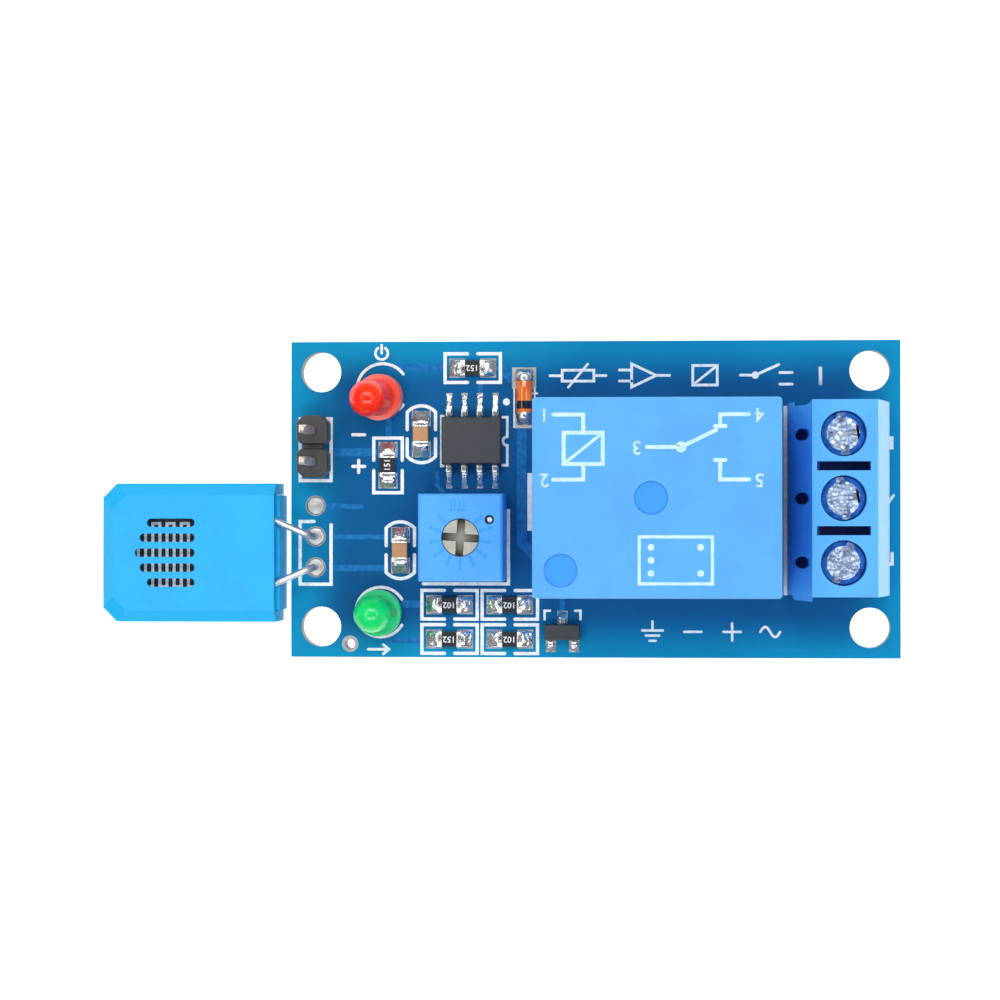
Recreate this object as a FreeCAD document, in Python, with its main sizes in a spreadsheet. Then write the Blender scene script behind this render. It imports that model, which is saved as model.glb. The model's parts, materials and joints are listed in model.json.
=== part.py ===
"""Humidity sensor module: a relay switch board with a resistive humidity sensor.

Frame: millimetres, +Z up. The origin is the centre of the mounting hole pattern
on the underside of the circuit board. +X points to the screw terminals and the
sensor overhangs the board on the -X side.
"""
import FreeCAD, Part
import math
import os
import Sketcher

doc = FreeCAD.newDocument("humidity_sensor_module")
sheet = doc.addObject("Spreadsheet::Sheet", "Sizes")

SIZES = {
    # circuit board
    "board_length": 50.0,
    "board_width": 26.0,
    "board_thickness": 1.6,
    "mount_pitch_x": 45.0,
    "mount_pitch_y": 21.0,
    "mount_bore": 3.3,
    "lead_reach": 2.0,
    "hole_clearance": 0.15,
    "solder_height": 0.9,
    "solder_collar": 0.6,
    "solder_rim": 0.15,
    "via_inset_x": 4.9,
    "via_inset_y": 1.1,
    "via_bore": 0.8,
    "running_gap": 0.05,
    "fit_gap": 0.1,
    # relay
    "relay_start_x": -4.25,
    "relay_centre_y": 0.0,
    "relay_length": 19.2,
    "relay_width": 15.5,
    "relay_height": 15.3,
    "relay_wall": 0.8,
    "relay_edge": 0.2,
    "relay_standoff": 0.3,
    "relay_dimple_bore": 2.6,
    "relay_dimple_depth": 0.25,
    "relay_dimple_one_x": 2.2,
    "relay_dimple_one_y": -5.6,
    "relay_dimple_two_x": 9.15,
    "relay_dimple_two_y": 0.0,
    "base_thickness": 1.2,
    "common_pin_inset": 1.3,
    "coil_pin_inset": 3.25,
    "contact_pin_inset": 3.75,
    "relay_pin_spread": 12.0,
    "relay_pin_width": 0.9,
    "relay_pin_thickness": 0.4,
    "yoke_inset": 2.0,
    "yoke_thickness": 1.2,
    "yoke_width": 7.0,
    "core_inset": 7.6,
    "core_diameter": 3.0,
    "pole_diameter": 5.0,
    "pole_thickness": 0.8,
    "bobbin_size": 8.4,
    "bobbin_flange": 0.7,
    "bobbin_wall": 0.5,
    "winding_diameter": 7.8,
    "coil_height": 7.0,
    "armature_thickness": 1.0,
    "armature_width": 6.4,
    "armature_length": 8.4,
    "armature_lift": 0.3,
    "spring_thickness": 0.2,
    "spring_width": 3.0,
    "contact_diameter": 2.2,
    "contact_thickness": 0.4,
    "contact_gap": 0.45,
    # screw terminal block
    "terminal_gap": 0.88,
    "terminal_centre_y": 0.0,
    "terminal_pitch": 5.08,
    "terminal_side_wall": 0.62,
    "terminal_height": 10.0,
    "terminal_back_slope": 1.6,
    "terminal_back_rise": 3.0,
    "terminal_top_depth": 5.14,
    "terminal_front_slope": 1.26,
    "terminal_front_rise": 4.0,
    "cage_clearance": 0.17,
    "well_bore": 3.6,
    "well_depth": 2.4,
    "shoulder_thickness": 0.8,
    "screw_head_diameter": 3.4,
    "screw_head_height": 1.5,
    "screw_shank_diameter": 2.4,
    "screw_head_flat": 2.65,
    "screw_head_slope": 0.45,
    "screw_slot_width": 0.66,
    "screw_slot_depth": 0.7,
    "screw_turn_one": 98.0,
    "screw_turn_two": 100.0,
    "screw_turn_three": 68.0,
    "cage_width": 3.9,
    "cage_length": 3.2,
    "cage_wall": 0.35,
    "cage_floor": 0.7,
    "cage_head": 1.0,
    "cage_open_height": 2.1,
    "cage_rest": 0.7,
    "entry_width": 3.3,
    "tail_thickness": 0.6,
    "tail_width": 3.0,
    "tail_pin_width": 1.0,
    "rib_slot_length": 4.2,
    "rib_slot_width": 0.72,
    "rib_slot_depth": 2.8,
    "probe_bore": 1.0,
    "probe_inset": 0.95,
    "probe_floor": 4.0,
    "key_inset": 0.4,
    "key_width": 1.2,
    "key_depth": 0.35,
    # trimmer
    "trimmer_x": -10.62,
    "trimmer_y": -3.12,
    "trimmer_size_x": 6.9,
    "trimmer_size_y": 7.1,
    "trimmer_height": 4.9,
    "trimmer_wall": 0.6,
    "trimmer_roof": 1.1,
    "trimmer_edge": 0.2,
    "rotor_diameter": 2.95,
    "rotor_flange_diameter": 4.6,
    "rotor_flange_thickness": 0.6,
    "rotor_recess": 0.15,
    "rotor_slot_width": 0.63,
    "rotor_slot_length": 3.2,
    "rotor_slot_depth": 0.6,
    "rotor_slot_turn": -4.0,
    "wiper_diameter": 4.2,
    "wiper_thickness": 0.25,
    "element_thickness": 0.8,
    "trimmer_pin_pitch": 2.54,
    "trimmer_pin_diameter": 0.5,
    "trimmer_mark_x": 2.36,
    "trimmer_mark_y": 1.45,
    "trimmer_mark_bore": 0.68,
    "trimmer_mark_depth": 0.4,
    # pin header
    "header_inset": 2.03,
    "header_y": 4.32,
    "header_pitch": 2.54,
    "header_height": 2.5,
    "header_corner": 0.55,
    "header_notch_width": 0.45,
    "header_notch_depth": 0.7,
    "header_pin_width": 0.64,
    "header_pin_rise": 6.0,
    # humidity sensor
    "sensor_pad_inset": 2.03,
    "sensor_pad_y": -4.33,
    "sensor_pad_pitch": 2.54,
    "sensor_lead_diameter": 0.55,
    "sensor_lead_height": 2.5,
    "sensor_lead_bend": 1.0,
    "sensor_lead_length": 6.0,
    "sensor_lead_splay": 23.0,
    "sensor_gap": 0.64,
    "sensor_centre_y": -4.37,
    "sensor_length": 14.6,
    "sensor_width": 11.35,
    "sensor_height": 5.5,
    "sensor_wall": 0.9,
    "sensor_roof": 0.45,
    "sensor_head_room": 0.75,
    "sensor_corner_cut": 1.15,
    "sensor_side_bevel": 0.95,
    "sensor_near_bevel": 0.05,
    "sensor_bevel_drop": 1.1,
    "sensor_ledge": 0.26,
    "grille_pitch": 1.223,
    "grille_slot_width": 0.68,
    "grille_slot_length": 4.94,
    "grille_end_inset": 6.84,
    "grille_outer_short": 1.0,
    "grille_inner_short": 0.4,
    "element_length": 11.35,
    "element_width": 8.8,
    "humidity_element_thickness": 0.7,
    "comb_pitch": 1.18,
    "comb_finger": 0.31,
    "comb_thickness": 0.12,
    "comb_reach": 5.4,
    "comb_shift": -0.19,
    "comb_tip_gap": 0.22,
    "comb_bar": 0.8,
    # light emitting diodes
    "led_lens_diameter": 3.0,
    "led_flange_diameter": 3.8,
    "led_flange_height": 1.0,
    "led_height": 5.2,
    "led_standoff": 0.55,
    "led_lead_pitch": 2.54,
    "led_lead_width": 0.5,
    "led_lead_rise": 1.2,
    "power_led_inset_x": 7.53,
    "power_led_inset_y": 4.58,
    "power_led_lean": 12.0,
    "power_led_way": 198.0,
    "status_led_inset_x": 7.36,
    "status_led_inset_y": 3.67,
    "status_led_lean": 3.0,
    "status_led_way": 180.0,
    # comparator
    "comparator_x": -10.0,
    "comparator_y": 4.81,
    "comparator_length": 4.96,
    "comparator_width": 3.87,
    "comparator_height": 1.5,
    "comparator_standoff": 0.12,
    "comparator_draft": 7.0,
    "comparator_lead_pitch": 1.27,
    "comparator_lead_width": 0.42,
    "comparator_lead_thickness": 0.2,
    "comparator_lead_span": 6.0,
    "comparator_foot": 0.6,
    # chip resistors and capacitors
    "chip_length": 2.0,
    "chip_width": 1.25,
    "resistor_height": 0.5,
    "capacitor_height": 0.95,
    "chip_cap_length": 0.4,
    "chip_pad_reach": 0.9,
    "chip_solder_rise": 0.35,
    # glass diode
    "diode_x": -5.68,
    "diode_inset_y": 4.59,
    "diode_length": 3.6,
    "diode_glass_diameter": 1.3,
    "diode_cap_diameter": 1.42,
    "diode_cap_length": 0.5,
    # transistor
    "transistor_x": -2.58,
    "transistor_inset_y": 2.12,
    "transistor_length": 2.92,
    "transistor_width": 1.3,
    "transistor_height": 1.0,
    "transistor_standoff": 0.08,
    "transistor_lead_width": 0.42,
    "transistor_lead_thickness": 0.14,
    "transistor_lead_pitch": 1.9,
    "transistor_lead_span": 2.4,
    "transistor_foot": 0.4,
}

# x, distance in from the board's edge, which edge (1 high, -1 low, 0 middle), turn
RESISTOR_PLACES = {
    "divider_resistor": (-9.97, 2.20, 1, 0),
    "power_led_resistor": (-16.97, -2.82, 0, 90),
    "base_resistor": (-11.88, 4.33, -1, 0),
    "pull_up_resistor": (-6.91, 4.33, -1, 0),
    "status_led_resistor": (-11.88, 1.51, -1, 0),
    "bleed_resistor": (-6.91, 1.51, -1, 0),
}
CAPACITOR_PLACES = {
    "supply_capacitor": (-14.22, -5.38, 0, 90),
    "filter_capacitor": (-15.94, 4.18, 0, 90),
}
CHIP_PLACES = {**RESISTOR_PLACES, **CAPACITOR_PLACES}

# Places that follow the board's edges
PLACES = {
    "header_x": "(header_inset - board_length / 2)",
    "sensor_pad_x": "(sensor_pad_inset - board_length / 2)",
    "via_x": "(via_inset_x - board_length / 2)",
    "via_y": "(via_inset_y - board_width / 2)",
    "power_led_x": "(power_led_inset_x - board_length / 2)",
    "power_led_y": "(board_width / 2 - power_led_inset_y)",
    "status_led_x": "(status_led_inset_x - board_length / 2)",
    "status_led_y": "(status_led_inset_y - board_width / 2)",
    "diode_y": "(board_width / 2 - diode_inset_y)",
    "transistor_y": "(transistor_inset_y - board_width / 2)",
}
for chip, (chip_x, chip_inset, edge_side, _) in CHIP_PLACES.items():
    SIZES[chip + "_x"] = chip_x
    SIZES[chip + "_inset"] = abs(chip_inset)
    inward = "-" if edge_side > 0 or (edge_side == 0 and chip_inset > 0) else "+"
    PLACES[chip + "_y"] = f"({edge_side} * board_width / 2 {inward} {chip}_inset)"

for row, (alias, size) in enumerate(SIZES.items(), start=1):
    sheet.set(f"A{row}", alias)
    sheet.set(f"B{row}", str(size))
    sheet.setAlias(f"B{row}", alias)
doc.recompute()


def bound(expression):
    """Write an expression of plain names as one that reads the sheet."""
    words = []
    word = ""
    for letter in str(expression) + " ":
        if letter.isalnum() or letter == "_":
            word += letter
            continue
        if word in PLACES:
            word = bound(PLACES[word])
        elif word in SIZES:
            word = "Sizes." + word
        words.append(word)
        words.append(letter)
        word = ""
    return "".join(words).strip()


def value(expression):
    """Work out an expression of aliases as a number."""
    return float(sheet.evalExpression(bound(expression)))


def bind(item, prop, expression):
    item.setExpression(prop, bound(expression))


def plane(body, role):
    return next(f for f in body.Origin.OriginFeatures if f.Role == role)


def new_body(name):
    return doc.addObject("PartDesign::Body", name)


def place(item, x="0", y="0", z="0", turn="0"):
    """Bind an object's placement: a shift and a turn about Z."""
    text = f"placement(vector({x}; {y}; {z}); rotation(vector(0; 0; 1); {turn}))"
    bind(item, "Placement", text)


def new_sketch(body, name, role, level):
    sketch = body.newObject("Sketcher::SketchObject", name)
    sketch.AttachmentSupport = [(plane(body, role), "")]
    sketch.MapMode = "FlatFace"
    bind(sketch, "AttachmentOffset", f"placement(vector(0; 0; {level}); rotation(vector(0; 0; 1); 0))")
    return sketch


def bind_point(sketch, edge, end, name, x, y):
    for kind, axis, expression in (("DistanceX", "x", x), ("DistanceY", "y", y)):
        index = sketch.addConstraint(Sketcher.Constraint(kind, -1, 1, edge, end, value(expression)))
        sketch.renameConstraint(index, f"{name}_{axis}")
        bind(sketch, f"Constraints.{name}_{axis}", expression)


def add_loop(sketch, points, name="p"):
    """Draw one closed loop of straight edges whose corners follow the sheet."""
    first = sketch.GeometryCount
    count = len(points)
    places = [FreeCAD.Vector(value(x), value(y), 0) for x, y in points]
    for index in range(count):
        sketch.addGeometry(Part.LineSegment(places[index], places[(index + 1) % count]))
    for index in range(count):
        following = first + (index + 1) % count
        sketch.addConstraint(Sketcher.Constraint("Coincident", first + index, 2, following, 1))
    for index, (x, y) in enumerate(points):
        bind_point(sketch, first + index, 1, f"{name}{index}", x, y)


def outline(body, name, role, points, level="0"):
    sketch = new_sketch(body, name, role, level)
    add_loop(sketch, points)
    return sketch


def rectangle(x0, x1, y0, y1):
    return [(x0, y0), (x1, y0), (x1, y1), (x0, y1)]


def add_circle(sketch, name, x, y, radius):
    index = sketch.addGeometry(Part.Circle(FreeCAD.Vector(value(x), value(y), 0),
                                           FreeCAD.Vector(0, 0, 1), value(radius)))
    bind_point(sketch, index, 3, name, x, y)
    constraint = sketch.addConstraint(Sketcher.Constraint("Radius", index, value(radius)))
    sketch.renameConstraint(constraint, f"{name}_radius")
    bind(sketch, f"Constraints.{name}_radius", radius)


def circles(body, name, role, places, level="0"):
    sketch = new_sketch(body, name, role, level)
    for index, (x, y, radius) in enumerate(places):
        add_circle(sketch, f"c{index}", x, y, radius)
    return sketch


def pad(body, sketch, length, both_ways=False, reverse=False, taper=None):
    feature = body.newObject("PartDesign::Pad", sketch.Name + "_pad")
    feature.Profile = sketch
    bind(feature, "Length", length)
    if both_ways:
        feature.SideType = "Symmetric"
    feature.Reversed = reverse
    if taper:
        bind(feature, "TaperAngle", taper)
    return feature


def pocket(body, sketch, depth=None, both_ways=False, reverse=False):
    """Cut a sketch out of the body, right through where no depth is given."""
    feature = body.newObject("PartDesign::Pocket", sketch.Name + "_pocket")
    feature.Profile = sketch
    if depth is None:
        feature.Type = "ThroughAll"
    else:
        bind(feature, "Length", depth)
    if both_ways:
        feature.SideType = "Symmetric"
    feature.Reversed = reverse
    return feature


def revolve(body, sketch, kind="Revolution"):
    feature = body.newObject("PartDesign::" + kind, sketch.Name + "_turned")
    feature.Profile = sketch
    feature.ReferenceAxis = (sketch, ["V_Axis"])
    feature.Angle = 360
    return feature


def box(name, x0, x1, y0, y1, z0, z1):
    solid = doc.addObject("Part::Box", name)
    bind(solid, "Length", f"({x1}) - ({x0})")
    bind(solid, "Width", f"({y1}) - ({y0})")
    bind(solid, "Height", f"({z1}) - ({z0})")
    place(solid, x0, y0, z0)
    return solid


def post(name, x, y, z0, z1, diameter):
    solid = doc.addObject("Part::Cylinder", name)
    bind(solid, "Radius", f"({diameter}) / 2")
    bind(solid, "Height", f"({z1}) - ({z0})")
    place(solid, x, y, z0)
    return solid


def cut(name, base, tool):
    result = doc.addObject("Part::Cut", name)
    result.Base = base
    result.Tool = tool
    return result


def fuse(name, pieces):
    result = doc.addObject("Part::MultiFuse", name)
    result.Shapes = pieces
    return result


def group(name, pieces):
    """Keep like pieces together as separate solids of one sub-part."""
    result = doc.addObject("Part::Compound", name)
    result.Links = pieces
    return result


parts = {}


def finish(name, item):
    item.Label = name
    parts[name] = item
    return item


board_top = "board_thickness"
lead_end = "-lead_reach"


def ease_edges(body, feature, size, wanted, kind="Chamfer"):
    """Chamfer or round the edges of a feature that the test picks out."""
    doc.recompute()
    names = [f"Edge{i}" for i, edge in enumerate(feature.Shape.Edges, start=1) if wanted(edge)]
    eased = body.newObject("PartDesign::" + kind, feature.Name + "_eased")
    eased.Base = (feature, names)
    bind(eased, "Size" if kind == "Chamfer" else "Radius", size)
    return eased


# Relay: a coil in the middle, a hinged armature over it and a changeover contact
relay_end_x = "(relay_start_x + relay_length)"
relay_low_y = "(relay_centre_y - relay_width / 2)"
relay_high_y = "(relay_centre_y + relay_width / 2)"
relay_floor = "(board_thickness + relay_standoff)"
base_top = "(board_thickness + relay_standoff + base_thickness)"
relay_top = "(board_thickness + relay_height)"
bobbin_bottom = f"({base_top} + yoke_thickness)"
bobbin_top = f"({bobbin_bottom} + coil_height)"
pole_top = f"({bobbin_top} + pole_thickness)"
yoke_top = f"({pole_top} + armature_lift)"
armature_bottom = f"({yoke_top} + running_gap)"
armature_top = f"({armature_bottom} + armature_thickness)"
spring_top = f"({armature_top} + spring_thickness)"
core_x = "(relay_start_x + core_inset)"
contact_x = f"({relay_end_x} - contact_pin_inset)"
moving_bottom = f"({armature_top} - contact_thickness)"
moving_top = f"({spring_top} + contact_thickness)"
closed_contact_bottom = f"({moving_top} + running_gap)"
open_contact_top = f"({moving_bottom} - contact_gap - running_gap)"


def make_relay_cover():
    body = new_body("relay_cover")
    shell = pad(body, outline(body, "cover_outline", "XY_Plane",
                              rectangle("relay_start_x", relay_end_x, relay_low_y, relay_high_y),
                              relay_floor), "relay_height - relay_standoff")
    low = value(relay_floor)
    ease_edges(body, shell, "relay_edge", lambda edge: edge.BoundBox.ZMax > low + 1)
    inside = outline(body, "cover_inside", "XY_Plane",
                     rectangle("relay_start_x + relay_wall", f"{relay_end_x} - relay_wall",
                               f"{relay_low_y} + relay_wall", f"{relay_high_y} - relay_wall"),
                     relay_floor)
    pocket(body, inside, "relay_height - relay_standoff - relay_wall", reverse=True)
    dimples = circles(body, "cover_dimples", "XY_Plane",
                      [("relay_start_x + relay_dimple_one_x", "relay_centre_y + relay_dimple_one_y",
                        "relay_dimple_bore / 2"),
                       ("relay_start_x + relay_dimple_two_x", "relay_centre_y + relay_dimple_two_y",
                        "relay_dimple_bore / 2")], relay_top)
    pocket(body, dimples, "relay_dimple_depth")
    return finish("relay_cover", body)


relay_pins = {
    "common": ("(relay_start_x + common_pin_inset)", "relay_centre_y"),
    "coil_low": ("(relay_start_x + coil_pin_inset)", "(relay_centre_y - relay_pin_spread / 2)"),
    "coil_high": ("(relay_start_x + coil_pin_inset)", "(relay_centre_y + relay_pin_spread / 2)"),
    "open": (contact_x, "(relay_centre_y + relay_pin_spread / 2)"),
    "closed": (contact_x, "(relay_centre_y - relay_pin_spread / 2)"),
}


def pin_section(name, gap="0"):
    """The flat section of a relay pin, with a clearance where one is wanted."""
    place_x, place_y = relay_pins[name]
    half_x = f"(relay_pin_width / 2 + {gap})"
    half_y = f"(relay_pin_thickness / 2 + {gap})"
    if name == "common":
        half_x, half_y = half_y, half_x
    return rectangle(f"{place_x} - {half_x}", f"{place_x} + {half_x}",
                     f"{place_y} - {half_y}", f"{place_y} + {half_y}")


def make_relay_base():
    body = new_body("relay_base")
    inset = "(relay_wall + fit_gap)"
    edge = (f"relay_start_x + {inset}", f"{relay_end_x} - {inset}",
            f"{relay_low_y} + {inset}", f"{relay_high_y} - {inset}")
    pad(body, outline(body, "base_outline", "XY_Plane", rectangle(*edge), relay_floor),
        "base_thickness")
    feet = new_sketch(body, "base_feet", "XY_Plane", board_top)
    corners = [(x, y) for x in (0, 1) for y in (0, 1)]
    for index, (right, back) in enumerate(corners):
        x0 = edge[0] if not right else f"{edge[1]} - base_thickness"
        y0 = edge[2] if not back else f"{edge[3]} - base_thickness"
        add_loop(feet, rectangle(x0, f"{x0} + base_thickness", y0, f"{y0} + base_thickness"), f"f{index}")
    pad(body, feet, "relay_standoff")
    slots = new_sketch(body, "base_slots", "XY_Plane", base_top)
    for name in relay_pins:
        add_loop(slots, pin_section(name, "running_gap"), name)
    pocket(body, slots)
    return finish("relay_base", body)


def make_yoke():
    body = new_body("yoke")
    back = "relay_start_x + yoke_inset"
    sole_end = f"{core_x} + core_diameter"
    points = [(back, base_top), (sole_end, base_top), (sole_end, bobbin_bottom),
              (f"{back} + yoke_thickness", bobbin_bottom), (f"{back} + yoke_thickness", yoke_top),
              (back, yoke_top)]
    pad(body, outline(body, "yoke_side", "XZ_Plane", points), "yoke_width", both_ways=True)
    place(body, y="relay_centre_y")
    return finish("relay_yoke", body)


def make_core():
    body = new_body("core")
    points = [("0", bobbin_bottom), ("core_diameter / 2", bobbin_bottom),
              ("core_diameter / 2", bobbin_top), ("pole_diameter / 2", bobbin_top),
              ("pole_diameter / 2", pole_top), ("0", pole_top)]
    revolve(body, outline(body, "core_section", "XZ_Plane", points))
    place(body, core_x, "relay_centre_y")
    return finish("relay_core", body)


def make_bobbin():
    body = new_body("bobbin")
    bore = "(core_diameter / 2 + running_gap)"
    barrel = f"({bore} + bobbin_wall)"
    half = "bobbin_size / 2"
    for name, level in (("low", bobbin_bottom), ("high", f"{bobbin_top} - bobbin_flange")):
        pad(body, outline(body, name + "_flange", "XY_Plane",
                          rectangle(f"-{half}", half, f"-{half}", half), level), "bobbin_flange")
        if name == "low":
            pad(body, circles(body, "barrel", "XY_Plane", [("0", "0", barrel)], bobbin_bottom),
                "coil_height")
    pocket(body, circles(body, "core_bore", "XY_Plane", [("0", "0", bore)], bobbin_top))
    place(body, core_x, "relay_centre_y")
    return finish("relay_bobbin", body)


def make_winding():
    body = new_body("winding")
    barrel = "core_diameter / 2 + bobbin_wall + running_gap * 2"
    low = f"{bobbin_bottom} + bobbin_flange"
    high = f"{bobbin_top} - bobbin_flange"
    points = rectangle(barrel, "winding_diameter / 2", low, high)
    revolve(body, outline(body, "winding_section", "XZ_Plane", points))
    place(body, core_x, "relay_centre_y")
    return finish("relay_winding", body)


def make_armature():
    start = "(relay_start_x + yoke_inset + running_gap * 2)"
    plate = box("armature_plate", start, f"{start} + armature_length",
                "relay_centre_y - armature_width / 2", "relay_centre_y + armature_width / 2",
                armature_bottom, armature_top)
    return finish("relay_armature", plate)


def make_contact_spring():
    """The leaf on the armature, with the moving contact riveted through its end."""
    start = "relay_start_x + yoke_inset + yoke_thickness"
    leaf = box("spring_leaf", start, f"{contact_x} + contact_diameter / 2",
               "relay_centre_y - spring_width / 2", "relay_centre_y + spring_width / 2",
               armature_top, spring_top)
    rivet = post("moving_contact", contact_x, "relay_centre_y", moving_bottom, moving_top,
                 "contact_diameter")
    return finish("contact_spring", fuse("spring_and_contact", [leaf, rivet]))


def make_fixed_contact(name, pin, side, arm_bottom, contact_bottom):
    """A pin through the base, an arm over to the middle and a contact button on it."""
    x, y = relay_pins[pin]
    arm_top = f"({arm_bottom} + relay_pin_thickness)"
    half = "relay_pin_thickness / 2"
    stem = box(name + "_stem", f"{x} - relay_pin_width / 2", f"{x} + relay_pin_width / 2",
               f"{y} - {half}", f"{y} + {half}", lead_end, arm_top)
    reach = "contact_diameter / 2"
    low, high = (f"{y} - {half}", f"relay_centre_y + {reach}")
    if side > 0:
        low, high = (f"relay_centre_y - {reach}", f"{y} + {half}")
    arm = box(name + "_arm", f"{x} - {reach}", f"{x} + {reach}", low, high, arm_bottom, arm_top)
    button = post(name + "_button", x, "relay_centre_y", contact_bottom,
                  f"{contact_bottom} + contact_thickness", "contact_diameter")
    return finish(name, fuse(name + "_joined", [stem, arm, button]))


def make_common_terminal():
    x, y = relay_pins["common"]
    stem = box("common_stem", f"{x} - relay_pin_thickness / 2", f"{x} + relay_pin_thickness / 2",
               f"{y} - relay_pin_width / 2", f"{y} + relay_pin_width / 2",
               lead_end, f"{base_top} + yoke_width / 2")
    tab = box("common_tab", f"{x} - relay_pin_thickness / 2", "relay_start_x + yoke_inset",
              f"{y} - relay_pin_width", f"{y} + relay_pin_width",
              f"{base_top} + yoke_width / 4", f"{base_top} + yoke_width / 2")
    return finish("common_terminal", fuse("common_joined", [stem, tab]))


def make_coil_pins():
    pins = []
    for name in ("coil_low", "coil_high"):
        x, y = relay_pins[name]
        pins.append(box(name + "_pin", f"{x} - relay_pin_width / 2", f"{x} + relay_pin_width / 2",
                        f"{y} - relay_pin_thickness / 2", f"{y} + relay_pin_thickness / 2",
                        lead_end, bobbin_bottom))
    return finish("coil_pins", group("coil_pin_pair", pins))


make_relay_cover()
make_relay_base()
make_yoke()
make_core()
make_bobbin()
make_winding()
make_armature()
make_contact_spring()
make_fixed_contact("open_contact", "open", 1,
                   f"({open_contact_top} - contact_thickness - relay_pin_thickness)",
                   f"({open_contact_top} - contact_thickness)")
make_fixed_contact("closed_contact", "closed", -1,
                   f"({closed_contact_bottom} + contact_thickness)", closed_contact_bottom)
make_common_terminal()
make_coil_pins()


# Screw terminal block: three rising clamps in one moulded housing
block_start_x = f"({relay_end_x} + terminal_gap)"
chamber_start_x = f"({block_start_x} + terminal_back_slope)"
screw_x = (f"({chamber_start_x} + fit_gap + tail_thickness + cage_clearance"
           " + cage_length / 2)")
chamber_end_x = f"({screw_x} + cage_length / 2 + cage_clearance)"
block_end_x = f"({chamber_start_x} + terminal_top_depth + terminal_front_slope)"
block_top = "(board_thickness + terminal_height)"
well_floor = f"({block_top} - well_depth)"
chamber_top = f"({well_floor} - shoulder_thickness)"
cage_bottom = "(board_thickness + cage_rest)"
clamp_floor = f"({cage_bottom} + cage_floor)"
bar_bottom = f"({clamp_floor} + cage_open_height)"
bar_top = f"({bar_bottom} + tail_thickness)"
cage_roof = f"({bar_top} + running_gap * 2)"
chamber_width = "(cage_width + fit_gap * 2)"
block_width = f"(terminal_pitch * 2 + {chamber_width} + terminal_side_wall * 2)"
POLES = {"one": 1, "two": 0, "three": -1}


def pole_y(side):
    return f"(terminal_pitch * {side})"


def back_face_z(x):
    """Height of the sloping back face above the board's underside at x."""
    rise = "(terminal_height - terminal_back_rise)"
    return (f"board_thickness + terminal_back_rise + ({x} - {block_start_x})"
            f" / terminal_back_slope * {rise}")


def make_terminal_housing():
    body = new_body("terminal_housing")
    section = [(block_start_x, board_top), (block_end_x, board_top),
               (block_end_x, "board_thickness + terminal_front_rise"),
               (f"{chamber_start_x} + terminal_top_depth", block_top),
               (chamber_start_x, block_top),
               (block_start_x, "board_thickness + terminal_back_rise")]
    pad(body, outline(body, "block_section", "XZ_Plane", section), block_width, both_ways=True)
    key_start = f"({block_start_x} + key_inset)"
    key_end = f"({key_start} + key_width)"
    key = [(key_start, board_top), (key_end, board_top),
           (key_end, back_face_z(key_end)), (key_start, back_face_z(key_start))]
    pad(body, outline(body, "key_rib", "XZ_Plane", key, f"{block_width} / 2"), "key_depth")
    pocket(body, outline(body, "key_groove", "XZ_Plane", key, f"-{block_width} / 2"),
           "key_depth", reverse=True)
    wells = [(screw_x, pole_y(side), "well_bore / 2") for side in POLES.values()]
    pocket(body, circles(body, "screw_wells", "XY_Plane", wells, block_top), "well_depth")
    shanks = [(screw_x, pole_y(side), "screw_shank_diameter / 2 + fit_gap")
              for side in POLES.values()]
    pocket(body, circles(body, "shank_bores", "XY_Plane", shanks, well_floor))
    chambers = new_sketch(body, "chambers", "XY_Plane", board_top)
    for name, side in POLES.items():
        half = f"{chamber_width} / 2"
        add_loop(chambers, rectangle(chamber_start_x, chamber_end_x, f"{pole_y(side)} - {half}",
                                     f"{pole_y(side)} + {half}"), name)
    pocket(body, chambers, f"{chamber_top} - board_thickness", reverse=True)
    entries = new_sketch(body, "wire_entries", "YZ_Plane", screw_x)
    for name, side in POLES.items():
        half = "entry_width / 2"
        add_loop(entries, rectangle(f"{pole_y(side)} - {half}", f"{pole_y(side)} + {half}",
                                    clamp_floor, bar_bottom), name)
    pocket(body, entries, reverse=True)
    slots = new_sketch(body, "web_slots", "XY_Plane", block_top)
    for name, side in (("upper", "0.5"), ("lower", "-0.5")):
        middle = f"terminal_pitch * {side}"
        add_loop(slots, rectangle(f"{screw_x} - rib_slot_length / 2", f"{screw_x} + rib_slot_length / 2",
                                  f"{middle} - rib_slot_width / 2", f"{middle} + rib_slot_width / 2"),
                 name)
    pocket(body, slots, "rib_slot_depth")
    probes = [(f"{block_start_x} + probe_inset", pole_y(side), "probe_bore / 2")
              for side in POLES.values()]
    pocket(body, circles(body, "probe_holes", "XY_Plane", probes, block_top),
           "terminal_height - probe_floor")
    place(body, y="terminal_centre_y")
    return finish("terminal_housing", body)


def make_terminal_screw(name, side):
    body = new_body("screw_" + name)
    head = "screw_head_diameter / 2"
    shank = "screw_shank_diameter / 2"
    head_top = f"({well_floor} + screw_head_height)"
    points = [("0", f"{bar_top} + running_gap"), (f"{shank} - running_gap * 4", f"{bar_top} + running_gap"),
              (shank, f"{bar_top} + running_gap * 5"), (shank, well_floor), (head, well_floor),
              (head, f"{head_top} - screw_head_slope"), ("screw_head_flat / 2", head_top),
              ("0", head_top)]
    revolve(body, outline(body, "screw_section", "XZ_Plane", points))
    slots = new_sketch(body, "driver_cross", "XY_Plane", head_top)
    half = "screw_slot_width / 2"
    arm = "screw_head_diameter * 0.36"
    points = [(half, half), (half, arm), (f"-{half}", arm), (f"-{half}", half),
              (f"-{head}", half), (f"-{head}", f"-{half}"), (f"-{half}", f"-{half}"),
              (f"-{half}", f"-{arm}"), (half, f"-{arm}"), (half, f"-{half}"),
              (head, f"-{half}"), (head, half)]
    add_loop(slots, points)
    pocket(body, slots, "screw_slot_depth")
    place(body, screw_x, f"terminal_centre_y + {pole_y(side)}", "0", f"screw_turn_{name}")
    return finish("terminal_screw_" + name, body)


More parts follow.
